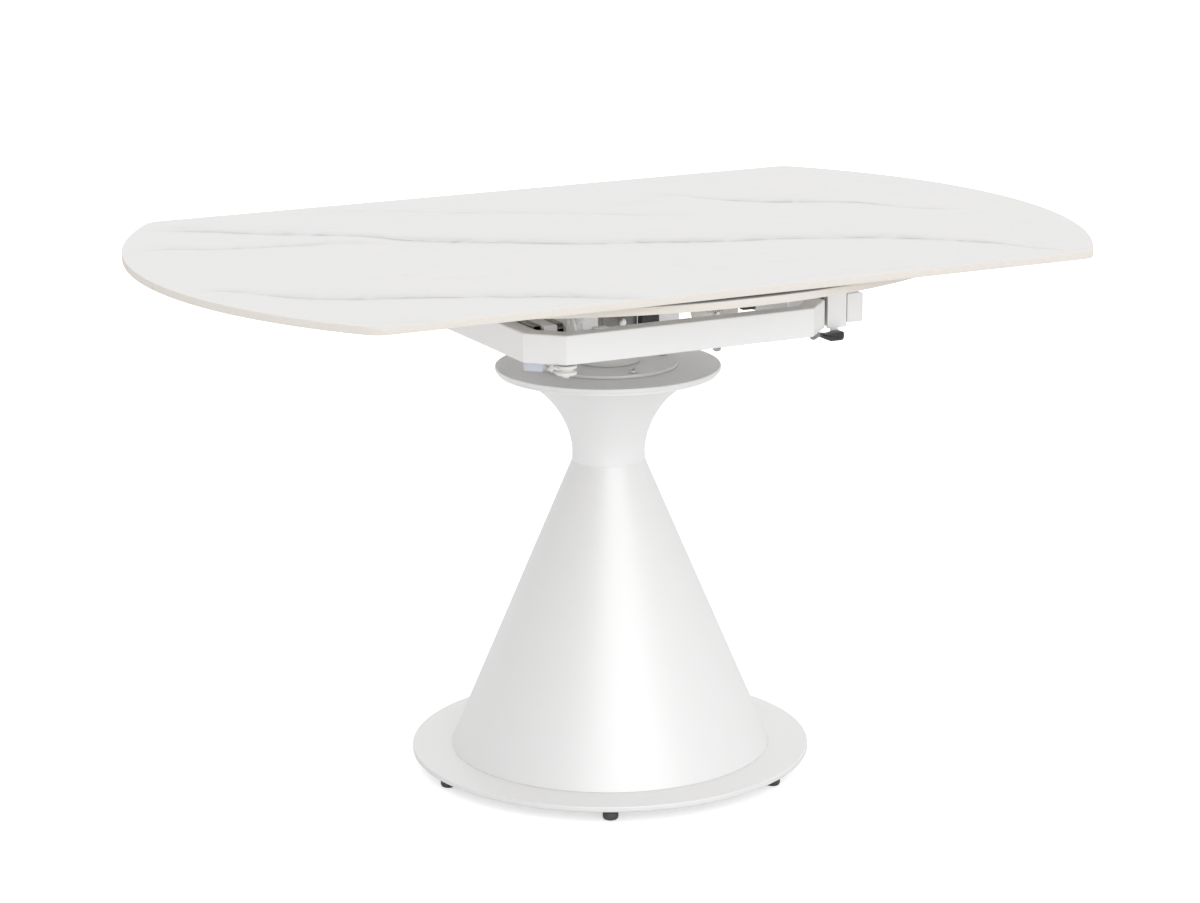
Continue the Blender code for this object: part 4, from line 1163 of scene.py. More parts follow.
@dataclass
class Pedestal:
    """The spun pedestal: base disc, cone, flare, flange, the head's disc and what bolts them together."""

    sheet: float = 0.003
    flare_power: float = 1.8
    neck_radius: float = 0.052
    neck_step: float = 0.0004
    neck_height: float = 0.0085
    skirt: float = 0.0042
    rim_thickness: float = 0.004
    rim_round: float = 0.0012
    plate_edge: float = 0.0016
    disc_edge: float = 0.0010
    flare_rows: int = 40
    foot_ribs: int = 24
    foot_pad: float = 0.011
    foot_stud_radius: float = 0.004
    foot_rib_depth: float = 0.035
    rod_radius: float = 0.006
    rod_chamfer: float = 0.001
    rod_head: float = 0.0058
    rod_sunk: float = 0.003
    cone_rows: int = 24
    cone_lip: float = 0.004
    flare_turn: float = math.radians(84)
    washer_share: float = 1.25
    washer_height: float = 0.0011
    bolt_share: float = 0.92
    bolt_shank: float = 0.003

    def cone(self) -> Surface:
        """The cone's wall: straight from the neck to the base, with a short lip inside the flare's skirt.

        Returns:
            The closed wall.
        """
        low, high = corners("pedestal_cone")
        inside_skirt, shoulder_height = self.neck_radius - self.sheet / 3, high[2] - self.cone_lip
        shoulder = np.array((self.neck_radius + self.neck_step, shoulder_height))
        lip = np.array([(inside_skirt, high[2]), (inside_skirt, shoulder_height)])
        share = np.linspace(0, 1, self.cone_rows)[:, None]
        line = shoulder + (np.array((high[0], low[2])) - shoulder) * share
        outside = np.concatenate([lip, line])
        inside = outside[::-1] - (self.sheet, 0)
        return revolved(np.concatenate([outside, inside]), TURN_STEPS, True)

    def flare(self) -> Surface:
        """The flare's wall: radius = rim - (rim - neck) * (1 - share^p)^(1 / p), where share is the height's.

        Returns:
            The closed wall, with its rim's round edge.
        """
        low, high = corners("pedestal_flare")
        rim, top = high[0], high[2]
        turn = np.linspace(0, self.flare_turn, self.flare_rows)
        share = np.sin(turn)
        start = corners("pedestal_cone")[1][2] + self.neck_height
        height = start + (top - self.rim_thickness - start) * share
        swell = (1 - share**self.flare_power) ** (1 / self.flare_power)
        radius = rim - (rim - self.neck_radius) * swell
        bottom, back = top - self.rim_thickness, rim - 4 * self.rim_round
        lip_corners = [(back, bottom), (rim, bottom), (rim, top), (back, top)]
        lip = rounded(lip_corners, [0, self.rim_round, self.rim_round, 0])
        skirt_end = (self.neck_radius + self.neck_step, low[2] - self.skirt)
        outside = np.concatenate([[skirt_end], np.stack([radius, height], axis=-1)])
        inside = outside[::-1] - (self.sheet, 0)
        inside[0] = (inside[0][0], top)
        return revolved(np.concatenate([outside, lip, inside]), TURN_STEPS, True)

    def disc(self, node: str, edge: float, hole: float) -> Surface:
        """A flat round plate with round edges, as the named node.

        Args:
            node: the node it stands for.
            edge: radius of its edges.
            hole: radius of the hole in its middle.

        Returns:
            The closed surface.
        """
        low, high = corners(node)
        radius = (high[0] - low[0]) / 2
        section = [(hole, low[2]), (radius, low[2]), (radius, high[2]), (hole, high[2])]
        return revolved(rounded(section, [0, edge, edge, 0], 5), TURN_STEPS, True)

    def foot(self, node: str) -> Surface:
        """A levelling foot: a ribbed pad on a short threaded stud.

        The pad's side has ribs: its radius goes down and up again as a cosine round the axis.

        Args:
            node: the foot's node.

        Returns:
            The closed surface.
        """
        low, high = corners(node)
        centre = (low + high) / 2
        radius, pad = (high[0] - low[0]) / 2, self.foot_pad
        rib_steps = 6
        steps = self.foot_ribs * rib_steps
        rib = 0.5 + 0.5 * np.cos(np.arange(steps) * 2 * np.pi / rib_steps)
        wave = 1 - self.foot_rib_depth * rib[:, None]
        smooth, ribbed = regular(radius, 0, steps), regular(radius, 0, steps) * wave
        stud = regular(self.foot_stud_radius, 0, steps)
        rings = [
            (smooth * 0.80, 0.0), (smooth * 0.88, 0.0006), (smooth * 0.93, 0.002), (ribbed, 0.0032),
            (ribbed, pad - 0.0022), (smooth * 0.93, pad - 0.0009), (smooth * 0.82, pad), (smooth * 0.55, pad),
            (stud * 1.25, pad - 0.0005), (stud, pad), (stud, high[2]),
        ]
        return lofted(rings).moved((centre[0], centre[1], low[2]))

    def disc_bolt(self, node: str) -> Surface:
        """A bolt of the head's disc on its own washer, about the Z axis.

        Args:
            node: the bolt's node.

        Returns:
            The closed surfaces.
        """
        low, high = corners(node)
        head = (high[0] - low[0]) / 2
        washer_low = corners("column_disc")[1][2] + SEAT_GAP
        washer_high = washer_low + self.washer_height
        rim = head * self.washer_share
        section = [(0, washer_low), (rim, washer_low), (rim, washer_high), (0, washer_high)]
        washer = revolved(rounded(section, [0, SEAT_GAP, SEAT_GAP, 0], 2))
        bolt = button_head(head * self.bolt_share, washer_high, high[2], self.bolt_shank, low[2])
        return joined([washer, bolt])

    def rod(self) -> Surface:
        """The long tie rod, which stands in its hexagonal head and has a chamfered upper end.

        Returns:
            The closed surfaces.
        """
        low, high = corners("tie_rod")
        radius, start, end = self.rod_radius, low[2] + self.rod_sunk, high[2]
        inside = radius - self.rod_chamfer
        profile = [(0, start), (radius, start), (radius, end - self.rod_chamfer), (inside, end), (0, end)]
        return joined([hex_piece(high[0], low[2], low[2] + self.rod_head), revolved(profile)])

    def build(self) -> None:
        """Makes the pedestal's pieces and dresses them."""
        body = FIXED_BODY
        hole = self.rod_radius + SEAT_GAP
        base = self.disc("base_plate", self.plate_edge, hole)
        make_piece("base_disc", base, WHITE_PAINT, body, ("base_plate",))
        make_piece("spun_cone", self.cone(), WHITE_PAINT, body, ("pedestal_cone",))
        make_piece("spun_flare", self.flare(), WHITE_PAINT, body, ("pedestal_flare",))
        flange = self.disc("pedestal_flange", self.plate_edge, hole)
        make_piece("top_flange", flange, WHITE_PAINT, body, ("pedestal_flange",))
        head_disc = self.disc("column_disc", self.disc_edge, hole)
        make_piece("head_disc", head_disc, WHITE_PAINT, body, ("column_disc",))
        for index in range(1, 5):
            shape = self.disc_bolt(f"disc_bolt_{index}").turned(index)
            low, high = corners(f"disc_bolt_{index}")
            shape = shape.moved(((low[0] + high[0]) / 2, (low[1] + high[1]) / 2, 0))
            make_piece(f"socket_bolt_{index}", shape, CHROME, body, (f"disc_bolt_{index}",))
        for index in range(1, 7):
            node, name = f"foot_{index}", f"levelling_foot_{index}"
            make_piece(name, self.foot(node), FOOT_PLASTIC, name, (node,))
        make_piece("long_tie_rod", self.rod(), ZINC, body, ("tie_rod",))
        low, high = corners("tie_nut")
        make_piece("tie_rod_nut", hex_piece(high[0], low[2], high[2]), ZINC, body, ("tie_nut",))


@dataclass
class Head:
    """The fixed frame on the pedestal: column, plate, crossbeams and the bearers under the stone."""

    wall: float = 0.002
    corner: float = 0.0025
    column_wall: float = 0.003
    weld: float = 0.0030
    weld_beads: int = 64
    bearing_wall: float = 0.0026
    bearing_height: float = 0.0105
    screw_radius: float = 0.0042
    screw_head: float = 0.003
    screw_places: tuple[float, ...] = (-0.110, -0.060, 0.060, 0.110)
    cap_half: float = 0.0015
    cap_inset: float = 0.0004

    def beam(self, node: str) -> Surface:
        """A box tube along X with round corners, as the named node.

        Args:
            node: the node it stands for.

        Returns:
            The closed surface, open at both ends.
        """
        low, high = corners(node)
        size, centre = high - low, (high + low) / 2
        outer = rectangle(size[1], size[2], self.corner)
        inner = rectangle(size[1] - 2 * self.wall, size[2] - 2 * self.wall, self.corner - self.wall / 2)
        path = [(low[0], centre[1], centre[2]), (high[0], centre[1], centre[2])]
        return swept(outer, path, inner)

    def weld_ring(self, radius: float, height: float) -> Surface:
        """A weld round the column, below a joint.

        It is a quarter-round bead that swells in even steps, as a cosine round the axis.

        Args:
            radius: the column's radius.
            height: height of the joint.

        Returns:
            The closed surface.
        """
        turn = np.arange(TURN_STEPS) * 2 * np.pi / TURN_STEPS
        swell = self.weld * (0.85 + 0.15 * np.cos(turn * self.weld_beads))
        bead = np.linspace(0, np.pi / 2, 6)
        sunk = [-0.15]
        reach = np.concatenate([sunk, np.cos(bead), sunk])
        drop = np.concatenate([[0.0], np.sin(bead), [1.0]])
        out = radius + reach[:, None] * swell
        up = height - drop[:, None] * swell
        points = np.stack([out * np.cos(turn), out * np.sin(turn), up], axis=-1).reshape(-1, 3)
        return Surface(points, grid_faces(len(reach), TURN_STEPS, True))

    def build(self) -> None:
        """Makes the head's pieces and dresses them."""
        body = FIXED_BODY
        low, high = corners("head_column")
        radius, bore = high[0], high[0] - self.column_wall
        section = [(bore, low[2]), (radius, low[2]), (radius, high[2]), (bore, high[2])]
        tube = revolved(rounded(section, [0, 0.0004, 0.0004, 0], 2), TURN_STEPS, True)
        column = joined([tube, self.weld_ring(radius, high[2])])
        make_piece("steel_column", column, WHITE_PAINT, body, ("head_column",))
        seat, bore, rim = low[2] + SEAT_GAP, radius + 0.0002, radius + self.bearing_wall
        seat_top = seat + self.bearing_height
        section = rounded([(bore, seat), (rim, seat), (rim, seat_top), (bore, seat_top)],
                          [0.0002, 0.0004, 0.0012, 0.0004])
        make_piece("column_bearing_ring", revolved(section, TURN_STEPS, True), NYLON, body)
        low, high = corners("head_plate")
        make_piece("top_head_plate", block(low, high, 0.0008, 0.012), WHITE_PAINT, body, ("head_plate",))
        stone_low = corners("table_top")[0][2]
        for half in Half:
            name = half.value
            node = f"{name}_crossbeam"
            make_piece(f"{name}_cross_tube", self.beam(node), WHITE_PAINT, body, (node,))
            node = f"{name}_top_bearer"
            make_piece(f"{name}_bearer_tube", self.beam(node), WHITE_PAINT, body, (node,))
            low, high = corners(f"{name}_crossbeam")
            screw_low = corners("head_plate")[0][2] - 0.0005 - self.screw_head
            middle_y = (low[1] + high[1]) / 2
            screw = button_head(self.screw_radius, -self.screw_head, 0.0, 0.002, -0.004).turned(np.pi, "X")
            screws = [screw.moved((x, middle_y, screw_low)) for x in self.screw_places]
            make_piece(f"{name}_plate_screws", joined(screws), CHROME, body)
            low, high = corners(node)
            inset_by, wide = self.cap_inset, self.cap_half
            cap = block((-wide, low[1] + inset_by, low[2] + inset_by),
                        (wide, high[1] - inset_by, stone_low - 0.0006), 0.0008)
            caps = [cap.moved((x, 0, 0)) for x in (low[0] + 0.0016, high[0] - 0.0016)]
            make_piece(f"{name}_bearer_caps", joined(caps), NYLON, body)


@dataclass
class Slides:
    """The slides: carriers and end plates, and the channels, members and cages of the ball slides."""

    wall: float = 0.002
    corner: float = 0.0025
    sheet: float = 0.0012
    cage_sheet: float = 0.0008
    lip_curl: float = 0.0034
    ball_radius: float = 0.0024
    ball_pitch: float = 0.0115
    ball_steps: int = 10
    plug_flange: float = 0.0012
    plug_depth: float = 0.004
    plug_inset: float = 0.0005
    lug_half: float = 0.006
    groove_half: float = 0.003
    groove_depth: float = 0.0009
    groove_shift: float = 0.0008
    buffer_turns: int = 9
    buffer_half: float = 0.0013
    buffer_length: float = 0.0045
    tongue_radius: float = 0.0036
    tongue_half: float = 0.0005
    tongue_rise: float = 0.011

    def carrier(self, node: str) -> Surface:
        """A box tube along Y, as the named node.

        Args:
            node: the node it stands for.

        Returns:
            The closed surface, open at both ends.
        """
        low, high = corners(node)
        size, centre = high - low, (high + low) / 2
        middle = (centre[0], centre[2])
        outer = rectangle(size[0], size[2], self.corner, middle)
        bore = (size[0] - 2 * self.wall, size[2] - 2 * self.wall)
        inner = rectangle(*bore, self.corner - self.wall / 2, middle)
        return straight(outer, low[1], high[1], inner)

    def plug(self, node: str, end: float, outward: float) -> Surface:
        """A plug in the open end of a carrier: a thin flange on the tube's end.

        Args:
            node: the carrier's node.
            end: y of the tube's end.
            outward: -1 if the tube ends towards -Y, or else 1.

        Returns:
            The closed surface.
        """
        low, high = corners(node)
        start, stop = sorted((end - outward * self.plug_depth, end + outward * self.plug_flange))
        shape = rectangle(high[0] - low[0] - self.plug_inset, high[2] - low[2] - self.plug_inset, self.corner,
                          ((low[0] + high[0]) / 2, (low[2] + high[2]) / 2))
        return plate(shape, start, stop, 0.0007).laid(Axis.Y)

    def end_plate(self) -> Surface:
        """The folded plate on the carrier's front end, with a lug below for the lever.

        Returns:
            The closed surface.
        """
        low, high = corners("front_end_plate")
        pivot = corners("front_lever_pin")
        pivot_x = (pivot[0][0] + pivot[1][0]) / 2
        plate_low = corners("right_rail_carrier")[0][2] - self.wall
        lug_left, lug_right = pivot_x - self.lug_half, pivot_x + self.lug_half
        outline = rounded(
            [(low[0], plate_low), (lug_left, plate_low), (lug_left, low[2]), (lug_right, low[2]),
             (lug_right, plate_low), (high[0], plate_low), (high[0], high[2]), (low[0], high[2])],
            [0.0015, 0.0008, 0.003, 0.003, 0.0008, 0.0015, 0.0015, 0.0015],
        )
        return plate(outline, low[1], high[1], 0.0006).laid(Axis.Y)

    def channel(self, node: str) -> Surface:
        """The fixed channel of a ball slide: a web and two flanges whose edges curl in round the balls.

        Args:
            node: the node it stands for.

        Returns:
            The closed surface.
        """
        low, high = corners(node)
        web, lip = high[0], low[0]
        t, curl = self.sheet, self.lip_curl
        bottom, top = low[2], high[2]
        outline = [
            (web, bottom), (web, top), (lip, top), (lip, top - curl), (lip + t, top - curl),
            (lip + t, top - t), (web - t, top - t), (web - t, bottom + t), (lip + t, bottom + t),
            (lip + t, bottom + curl), (lip, bottom + curl), (lip, bottom),
        ]
        upper_radii = [0.0022, 0.0016, 0.0004, 0.0004, 0.0005, 0.0010]
        radii = upper_radii[:1] + upper_radii + upper_radii[:0:-1]
        return straight(rounded(outline, radii), low[1], high[1])

    def member(self, node: str) -> Surface:
        """The moving member of a ball slide: a web and two flanges, each with a pressed groove for the balls.

        Args:
            node: the node it stands for.

        Returns:
            The closed surface.
        """
        low, high = corners(node)
        web, lip = low[0], high[0]
        t, bottom, top = self.sheet, low[2], high[2]
        dent, middle = self.groove_depth, (web + lip) / 2 + self.groove_shift
        outer, inner = self.groove_half, self.groove_half + 0.0002
        outline = [
            (web, bottom), (middle - outer, bottom), (middle, bottom + dent), (middle + outer, bottom),
            (lip, bottom), (lip, bottom + t), (middle + inner, bottom + t), (middle, bottom + t + dent),
            (middle - inner, bottom + t), (web + t, bottom + t), (web + t, top - t),
            (middle - inner, top - t), (middle, top - t - dent), (middle + inner, top - t), (lip, top - t),
            (lip, top), (middle + outer, top), (middle, top - dent), (middle - outer, top), (web, top),
        ]
        lower_radii = [0.0016, 0.001, 0.0012, 0.001, 0.0003, 0.0003, 0.001, 0.0012, 0.001, 0.0006]
        return straight(rounded(outline, lower_radii + lower_radii[::-1], 3), low[1], high[1])

    def cage(self, node: str) -> tuple[Surface, Surface]:
        """A ball cage and its balls: thin flanges with a row of balls above and below.

        Args:
            node: the node it stands for.

        Returns:
            The cage, and all its balls.
        """
        low, high = corners(node)
        web, lip, t = high[0], low[0], self.cage_sheet
        bottom, top = low[2], high[2]
        outline = [(web, bottom), (web, top), (lip, top), (lip, top - t), (web - t, top - t),
                   (web - t, bottom + t), (lip, bottom + t), (lip, bottom)]
        radii = [0.001, 0.001, 0.0002, 0.0002, 0.0004, 0.0004, 0.0002, 0.0002]
        sheet = straight(rounded(outline, radii, 3), low[1], high[1])
        turn = np.linspace(0, np.pi, 7)
        ball = revolved(self.ball_radius * np.stack([np.sin(turn), -np.cos(turn)], axis=-1), self.ball_steps)
        count = int((high[1] - low[1]) / self.ball_pitch)
        places = low[1] + self.ball_pitch * (np.arange(count) + 0.6)
        middle = (web + lip) / 2
        offsets = [(middle, y, z) for y in places for z in (bottom + t / 2, top - t / 2)]
        return sheet, joined([ball.moved(offset) for offset in offsets])

    def buffer(self, node: str) -> Surface:
        """A dark zigzag strip on the front end of a slide's moving member, as wide as the member's flanges.

        Its middle line goes from side to side as it rises: x = middle + swing * triangle wave of the height.

        Args:
            node: the moving member's node.

        Returns:
            The closed surface.
        """
        low, high = corners(node)
        turns, thick = self.buffer_turns, self.buffer_half
        rise = np.linspace(low[2] + 0.001, high[2] - 0.001, turns)
        swing = (high[0] - low[0]) / 2 - thick
        middle = (low[0] + high[0]) / 2 + swing * (1 - 2 * (np.arange(turns) % 2))
        there = np.stack([middle - thick, rise], axis=-1)
        back = np.stack([middle + thick, rise], axis=-1)[::-1]
        outline = np.concatenate([there, back])
        return lofted([(outline, low[1] - self.buffer_length), (outline, low[1] - 0.0002)]).laid(Axis.Y)

    def curl(self, node: str) -> Surface:
        """A stop tongue on the member's end: a strip rolled three quarters of a turn about an upright line.

        Args:
            node: the moving member's node.

        Returns:
            The closed surface.
        """
        low, high = corners(node)
        radius, thick, rise = self.tongue_radius, self.tongue_half, self.tongue_rise
        angle = np.linspace(math.radians(90), math.radians(-170), 22)
        centre = np.array(((low[0] + high[0]) / 2, low[1] - radius - 0.0050))
        ray = np.stack([np.cos(angle), np.sin(angle)], axis=-1)
        outline = np.concatenate([centre + ray * radius, (centre + ray * (radius - 2 * thick))[::-1]])
        return lofted([(outline, high[2] - rise), (outline, high[2] - 0.001)])

    def build(self, half: Half) -> None:
        """Makes this half's pieces and dresses them.

        Args:
            half: the half they are for.
        """
        side = {Half.FRONT: "right", Half.BACK: "left"}[half]
        node = f"{side}_rail_carrier"
        low, high = corners(node)
        make_piece(f"{side}_carrier_tube", self.carrier(node), WHITE_PAINT, FIXED_BODY, (node,))
        free_end = {Half.FRONT: (high[1], 1.0), Half.BACK: (low[1], -1.0)}[half]
        make_piece(f"{side}_carrier_plug", self.plug(node, *free_end), WHITE_PAINT, FIXED_BODY)
        moving, cages = f"{half.value}_extension", f"{half.value}_ball_cages"
        pieces = [("folded_end_plate", self.end_plate(), WHITE_PAINT, FIXED_BODY, "end_plate")]
        for slide in ("left", "right"):
            channel, member, cage = f"{slide}_slide_channel", f"{slide}_slide_member", f"{slide}_ball_cage"
            front_member = f"front_{member}"
            sheet, balls = self.cage(f"front_{cage}")
            pieces += [
                (f"{slide}_channel_rail", self.channel(f"front_{channel}"), SLIDE_STEEL, FIXED_BODY, channel),
                (f"{slide}_member_rail", self.member(front_member), SLIDE_STEEL, moving, member),
                (f"{slide}_cage", sheet, ZINC, cages, cage),
                (f"{slide}_balls", balls, CHROME, cages, None),
                (f"{slide}_buffer", self.buffer(front_member), LEVER_PLASTIC, moving, None),
                (f"{slide}_stop_tongue", self.curl(front_member), GOLDEN_ZINC, moving, None),
            ]
        make_half(half, pieces)


@dataclass
class LockGear:
    """The fixed gear hung from each long side of the head plate: bracket, block, cover and latch plate."""

    sheet: float = 0.0018
    strip_low: float = 0.010
    drop: float = 0.0500
    bracket: tuple[float, float] = (-0.0860, -0.0285)
    block: tuple[float, float] = (-0.0275, -0.0005)
    cover: tuple[float, float] = (0.0005, 0.0370)
    latch: tuple[float, float] = (0.0480, 0.1300)
    latch_slant: float = 0.012
    tab: tuple[float, float] = (0.1325, 0.1530)
    spring_radius: float = 0.0036
    spring_wire: float = 0.0006
    spring_length: float = 0.028
    spring_turns: float = 9.5

    def sheet_piece(self, outline: np.ndarray, front: float, thick: float) -> Surface:
        """An upright sheet along X: an outline in x and z, this thick, whose front face is at this y."""
        return plate(outline, front, front + thick, min(0.0005, thick / 3)).laid(Axis.Y)

    def bolt(self, x: float, front: float, z: float, radius: float) -> Surface:
        """A hexagonal bolt head on a washer, standing out towards -Y from a sheet's front face.

        Args:
            x: place along X.
            front: y of the face.
            z: height.
            radius: distance from the head's middle to a corner.

        Returns:
            The closed surfaces.
        """
        washer = revolved([(0, 0.0001), (radius * 1.2, 0.0001), (radius * 1.2, 0.0010), (0, 0.0010)], 28)
        head = joined([washer, hex_piece(radius, 0.0010, 0.0042)])
        return head.turned(math.pi / 2, "X").moved((x, front, z))

    def latch_plate(self, top: float, front: float) -> Surface:
        """The latch plate: a slanting left side, two steps below, and two raised guide bars.

        Args:
            top: height of its upper side.
            front: y of its front face.

        Returns:
            The closed surfaces.
        """
        left, right = self.latch
        low = top - self.drop
        outline = rounded(
            [(left + self.latch_slant, low), (left + 0.030, low), (left + 0.034, low + 0.008),
             (right - 0.020, low + 0.008), (right - 0.016, low + 0.004), (right, low + 0.004),
             (right, top), (left, top)],
            [0.003, 0.002, 0.002, 0.002, 0.002, 0.003, 0.001, 0.001],
        )
        bars = [
            plate(rectangle(0.030, 0.0042, 0.002, (left + shift, top - drop)), front - 0.0024,
                  front - 0.0002, 0.0006).laid(Axis.Y)
            for shift, drop in ((0.024, 0.0235), (0.060, 0.0300))
        ]
        return joined([self.sheet_piece(outline, front, self.sheet)] + bars)

    def upright(self, span: tuple[float, float], top: float, corner: float) -> np.ndarray:
        """The outline of a gear sheet, from the drop up to the top.

        Args:
            span: x of its left and right side.
            top: height of its upper side.
            corner: radius of its corners.

        Returns:
            The outline's points.
        """
        left, right = span
        low = top - self.drop
        return rounded([(left, low), (right, low), (right, top), (left, top)], corner)

    def build(self, half: Half) -> None:
        """Makes this half's pieces and dresses them.

        Args:
            half: the half they are for.
        """
        low, high = corners("head_plate")
        front, top = low[1] - SEAT_GAP - self.sheet, high[2] - 0.0004
        strip_low, wall = top - self.strip_low, self.sheet
        face = front - wall - SEAT_GAP
        left, right = self.bracket
        strip = plate(rectangle(self.tab[1] - left, self.strip_low, 0.0015,
                                ((self.tab[1] + left) / 2, top - self.strip_low / 2)),
                      front, front + wall, 0.0005).laid(Axis.Y)
        bracket = joined([
            self.sheet_piece(self.upright(self.bracket, top, 0.002), face, wall),
            block((left - wall, face - 0.011, top - self.drop), (left, face + wall, top), 0.0005, 0.0008),
            block((left + 0.006, face - 0.006, strip_low - 0.004),
                  (right - 0.004, face - 0.0002, strip_low), 0.0006),
        ])
        bolts = joined([
            self.bolt(left + (right - left) * 0.61, face, top - 0.0330, 0.0042),
            self.bolt(self.latch[0] + 0.020, face, top - 0.0160, 0.0036),
            self.bolt(self.latch[1] - 0.012, face, top - 0.0200, 0.0036),
            self.bolt(self.latch[1] - 0.034, face, top - 0.0350, 0.0032),
        ])
        stop = block((self.block[0], face - 0.013, strip_low - 0.034),
                     (self.block[1], face + wall, strip_low + 0.003), 0.0012, 0.0018)
        cover = self.sheet_piece(self.upright(self.cover, top, 0.0015), face, wall)
        spring = coil(self.spring_radius, self.spring_wire, self.spring_turns, self.spring_length)
        spring_y = face - self.spring_radius - self.spring_wire - SEAT_GAP
        spring = spring.laid(Axis.X).moved((self.latch[0] + 0.030, spring_y, top - 0.0285))
        tab = block((self.tab[0], face - 0.010, strip_low - 0.0230),
                    (self.tab[1], face + wall, strip_low + 0.004), 0.0010, 0.0016)
        # The bracket's darker zinc tone is painted shade.
        pieces = [
            ("gear_strip", strip, ZINC), ("gear_bracket", bracket, PAINTED_SHADE_STEEL), ("gear_bolts", bolts, CHROME),
            ("gear_block", stop, LEVER_PLASTIC), ("gear_cover", cover, WHITE_PAINT),
            ("latch_plate", self.latch_plate(top, face), ZINC), ("latch_spring", spring, CHROME),
            ("latch_tab", tab, LEVER_PLASTIC),
        ]
        make_half(half, [(*piece, FIXED_BODY, None) for piece in pieces])


@dataclass
class Extension:
    """What moves with a leaf: its frame, lifters and rail, and the small pieces under the frame."""

    tube_width: float = 0.025
    tube_height: float = 0.040
    wall: float = 0.002
    corner: float = 0.0022
    corner_cut: float = 0.042
    lug_sheet: float = 0.003
    lug_reach: float = 0.023
    lug_drop: float = 0.017
    arm_sheet: float = 0.004
    pivot_radius: float = 0.0025
    pivot_inset: float = 0.005
    pin_gap: float = 0.002
    rail_lip: float = 0.007
    rail_sheet: float = 0.0014
    pulley_bore: float = 0.0033
    pulley_groove: float = 0.0095
    pulley_wall_share: float = 0.32
    bumper_radius: float = 0.0055
    bumper_length: float = 0.015
    bumper_place: tuple[float, float] = (0.1665, -0.2865)
    bumper_turn: float = math.radians(40)
    bar_screw_x: float = 0.008

    def frame_path(self, low: np.ndarray, high: np.ndarray) -> np.ndarray:
        """Middle line of the frame's tube, from one arm's rear end to the other's.

        The middle line lies half a tube inside the outer line, so a cut corner's ends move along the sides by
        half a tube times tan(22.5 degrees).

        Args:
            low: lowest corner of the frame.
            high: its highest corner.

        Returns:
            The path's points.
        """
        half_tube = self.tube_width / 2
        cut = self.corner_cut - half_tube * (1 - math.tan(math.pi / 8))
        left, right, front, rear = low[0] + half_tube, high[0] - half_tube, low[1] + half_tube, high[1]
        middle = low[2] + self.tube_height / 2
        path = [(left, rear), (left, front + cut), (left + cut, front), (right - cut, front),
                (right, front + cut), (right, rear)]
        return np.array([(x, y, middle) for x, y in path])

    def frame_tube(self, low: np.ndarray, high: np.ndarray) -> Surface:
        """The frame: one box tube carried along its path, with a plug in each rear end.

        Args:
            low: lowest corner of the frame.
            high: its highest corner.

        Returns:
            The closed surfaces.
        """
        outer = rectangle(self.tube_width, self.tube_height, self.corner)
        bore = (self.tube_width - 2 * self.wall, self.tube_height - 2 * self.wall)
        inner = rectangle(*bore, self.corner - 0.0012)
        path = self.frame_path(low, high)
        tube = swept(outer, path.tolist(), inner)
        plugs = [
            plate(rectangle(self.tube_width - 0.0008, self.tube_height - 0.0008, 0.002, (end[0], end[2])),
                  end[1] - 0.004, end[1] - 0.0002, 0.0006).laid(Axis.Y)
            for end in (path[0], path[-1])
        ]
        return joined([tube] + plugs)

    def lug(self, x: float, low: np.ndarray, high: np.ndarray) -> Surface:
        """An upright lug on the front bar's back.

        Args:
            x: middle of the lug's thickness.
            low: lowest corner of the frame.
            high: its highest corner.

        Returns:
            The closed surface.
        """
        bar_back, bar_top = low[1] + self.tube_width, low[2] + self.tube_height
        near, far, lug_low = bar_back - 0.001, bar_back + self.lug_reach, bar_top - self.lug_drop
        outline = rounded(
            [(near, lug_low), (far, lug_low), (far, high[2]), (near + 0.003, high[2]),
             (near, bar_top + 0.004)],
            [0.0005, 0.004, 0.007, 0.004, 0.001],
        )
        return plate(outline, x - self.lug_sheet / 2, x + self.lug_sheet / 2, 0.0005).laid(Axis.X)

    def lift_arm(self, node: str, pivot: np.ndarray) -> Surface:
        """A three-cornered lift arm with its pivot pin.

        Args:
            node: the node it stands for.
            pivot: (y, z) of the pivot.

        Returns:
            The closed surfaces.
        """
        low, high = corners(node)
        start = high[0] - self.pin_gap - self.arm_sheet
        near, far = pivot[0] - self.pivot_inset, pivot[0] + self.pivot_inset
        outline = rounded(
            [(far, low[2]), (far, high[2]), (low[1], high[2]), (near, low[2])], [0.004, 0.0012, 0.0012, 0.004]
        )
        arm = plate(outline, start, start + self.arm_sheet, 0.0006).laid(Axis.X)
        shank, collar, head = self.pivot_radius, self.pivot_radius * 1.7, self.pivot_radius * 1.9
        collar_end, head_start = low[0] + 0.0012, high[0] - 0.0015
        profile = [(0, low[0]), (collar, low[0]), (collar, collar_end), (shank, collar_end),
                   (shank, head_start), (head, head_start), (head, high[0]), (0, high[0])]
        pin = revolved(rounded(profile, [0, 0.0004, 0, 0, 0, 0, 0.0004, 0], 2), 28).laid(Axis.X)
        return joined([arm, pin.moved((0, pivot[0], pivot[1]))])

    def rail(self, node: str) -> Surface:
        """The folded steel strip under the leaf, with a stiffening lip along its back.

        Args:
            node: the node it stands for.

        Returns:
            The closed surface.
        """
        low, high = corners(node)
        inside, lip_low, under = high[1] - self.rail_sheet, low[2] - self.rail_lip, low[2] + 0.0002
        section = rounded(
            [(high[1], lip_low), (high[1], high[2]), (low[1], high[2]), (low[1], under), (inside, under),
             (inside, lip_low)],
            [0.0004, 0.0014, 0.0008, 0.0008, 0.0006, 0.0004],
        )
        return lofted([(section, low[0]), (section, high[0])]).laid(Axis.X)

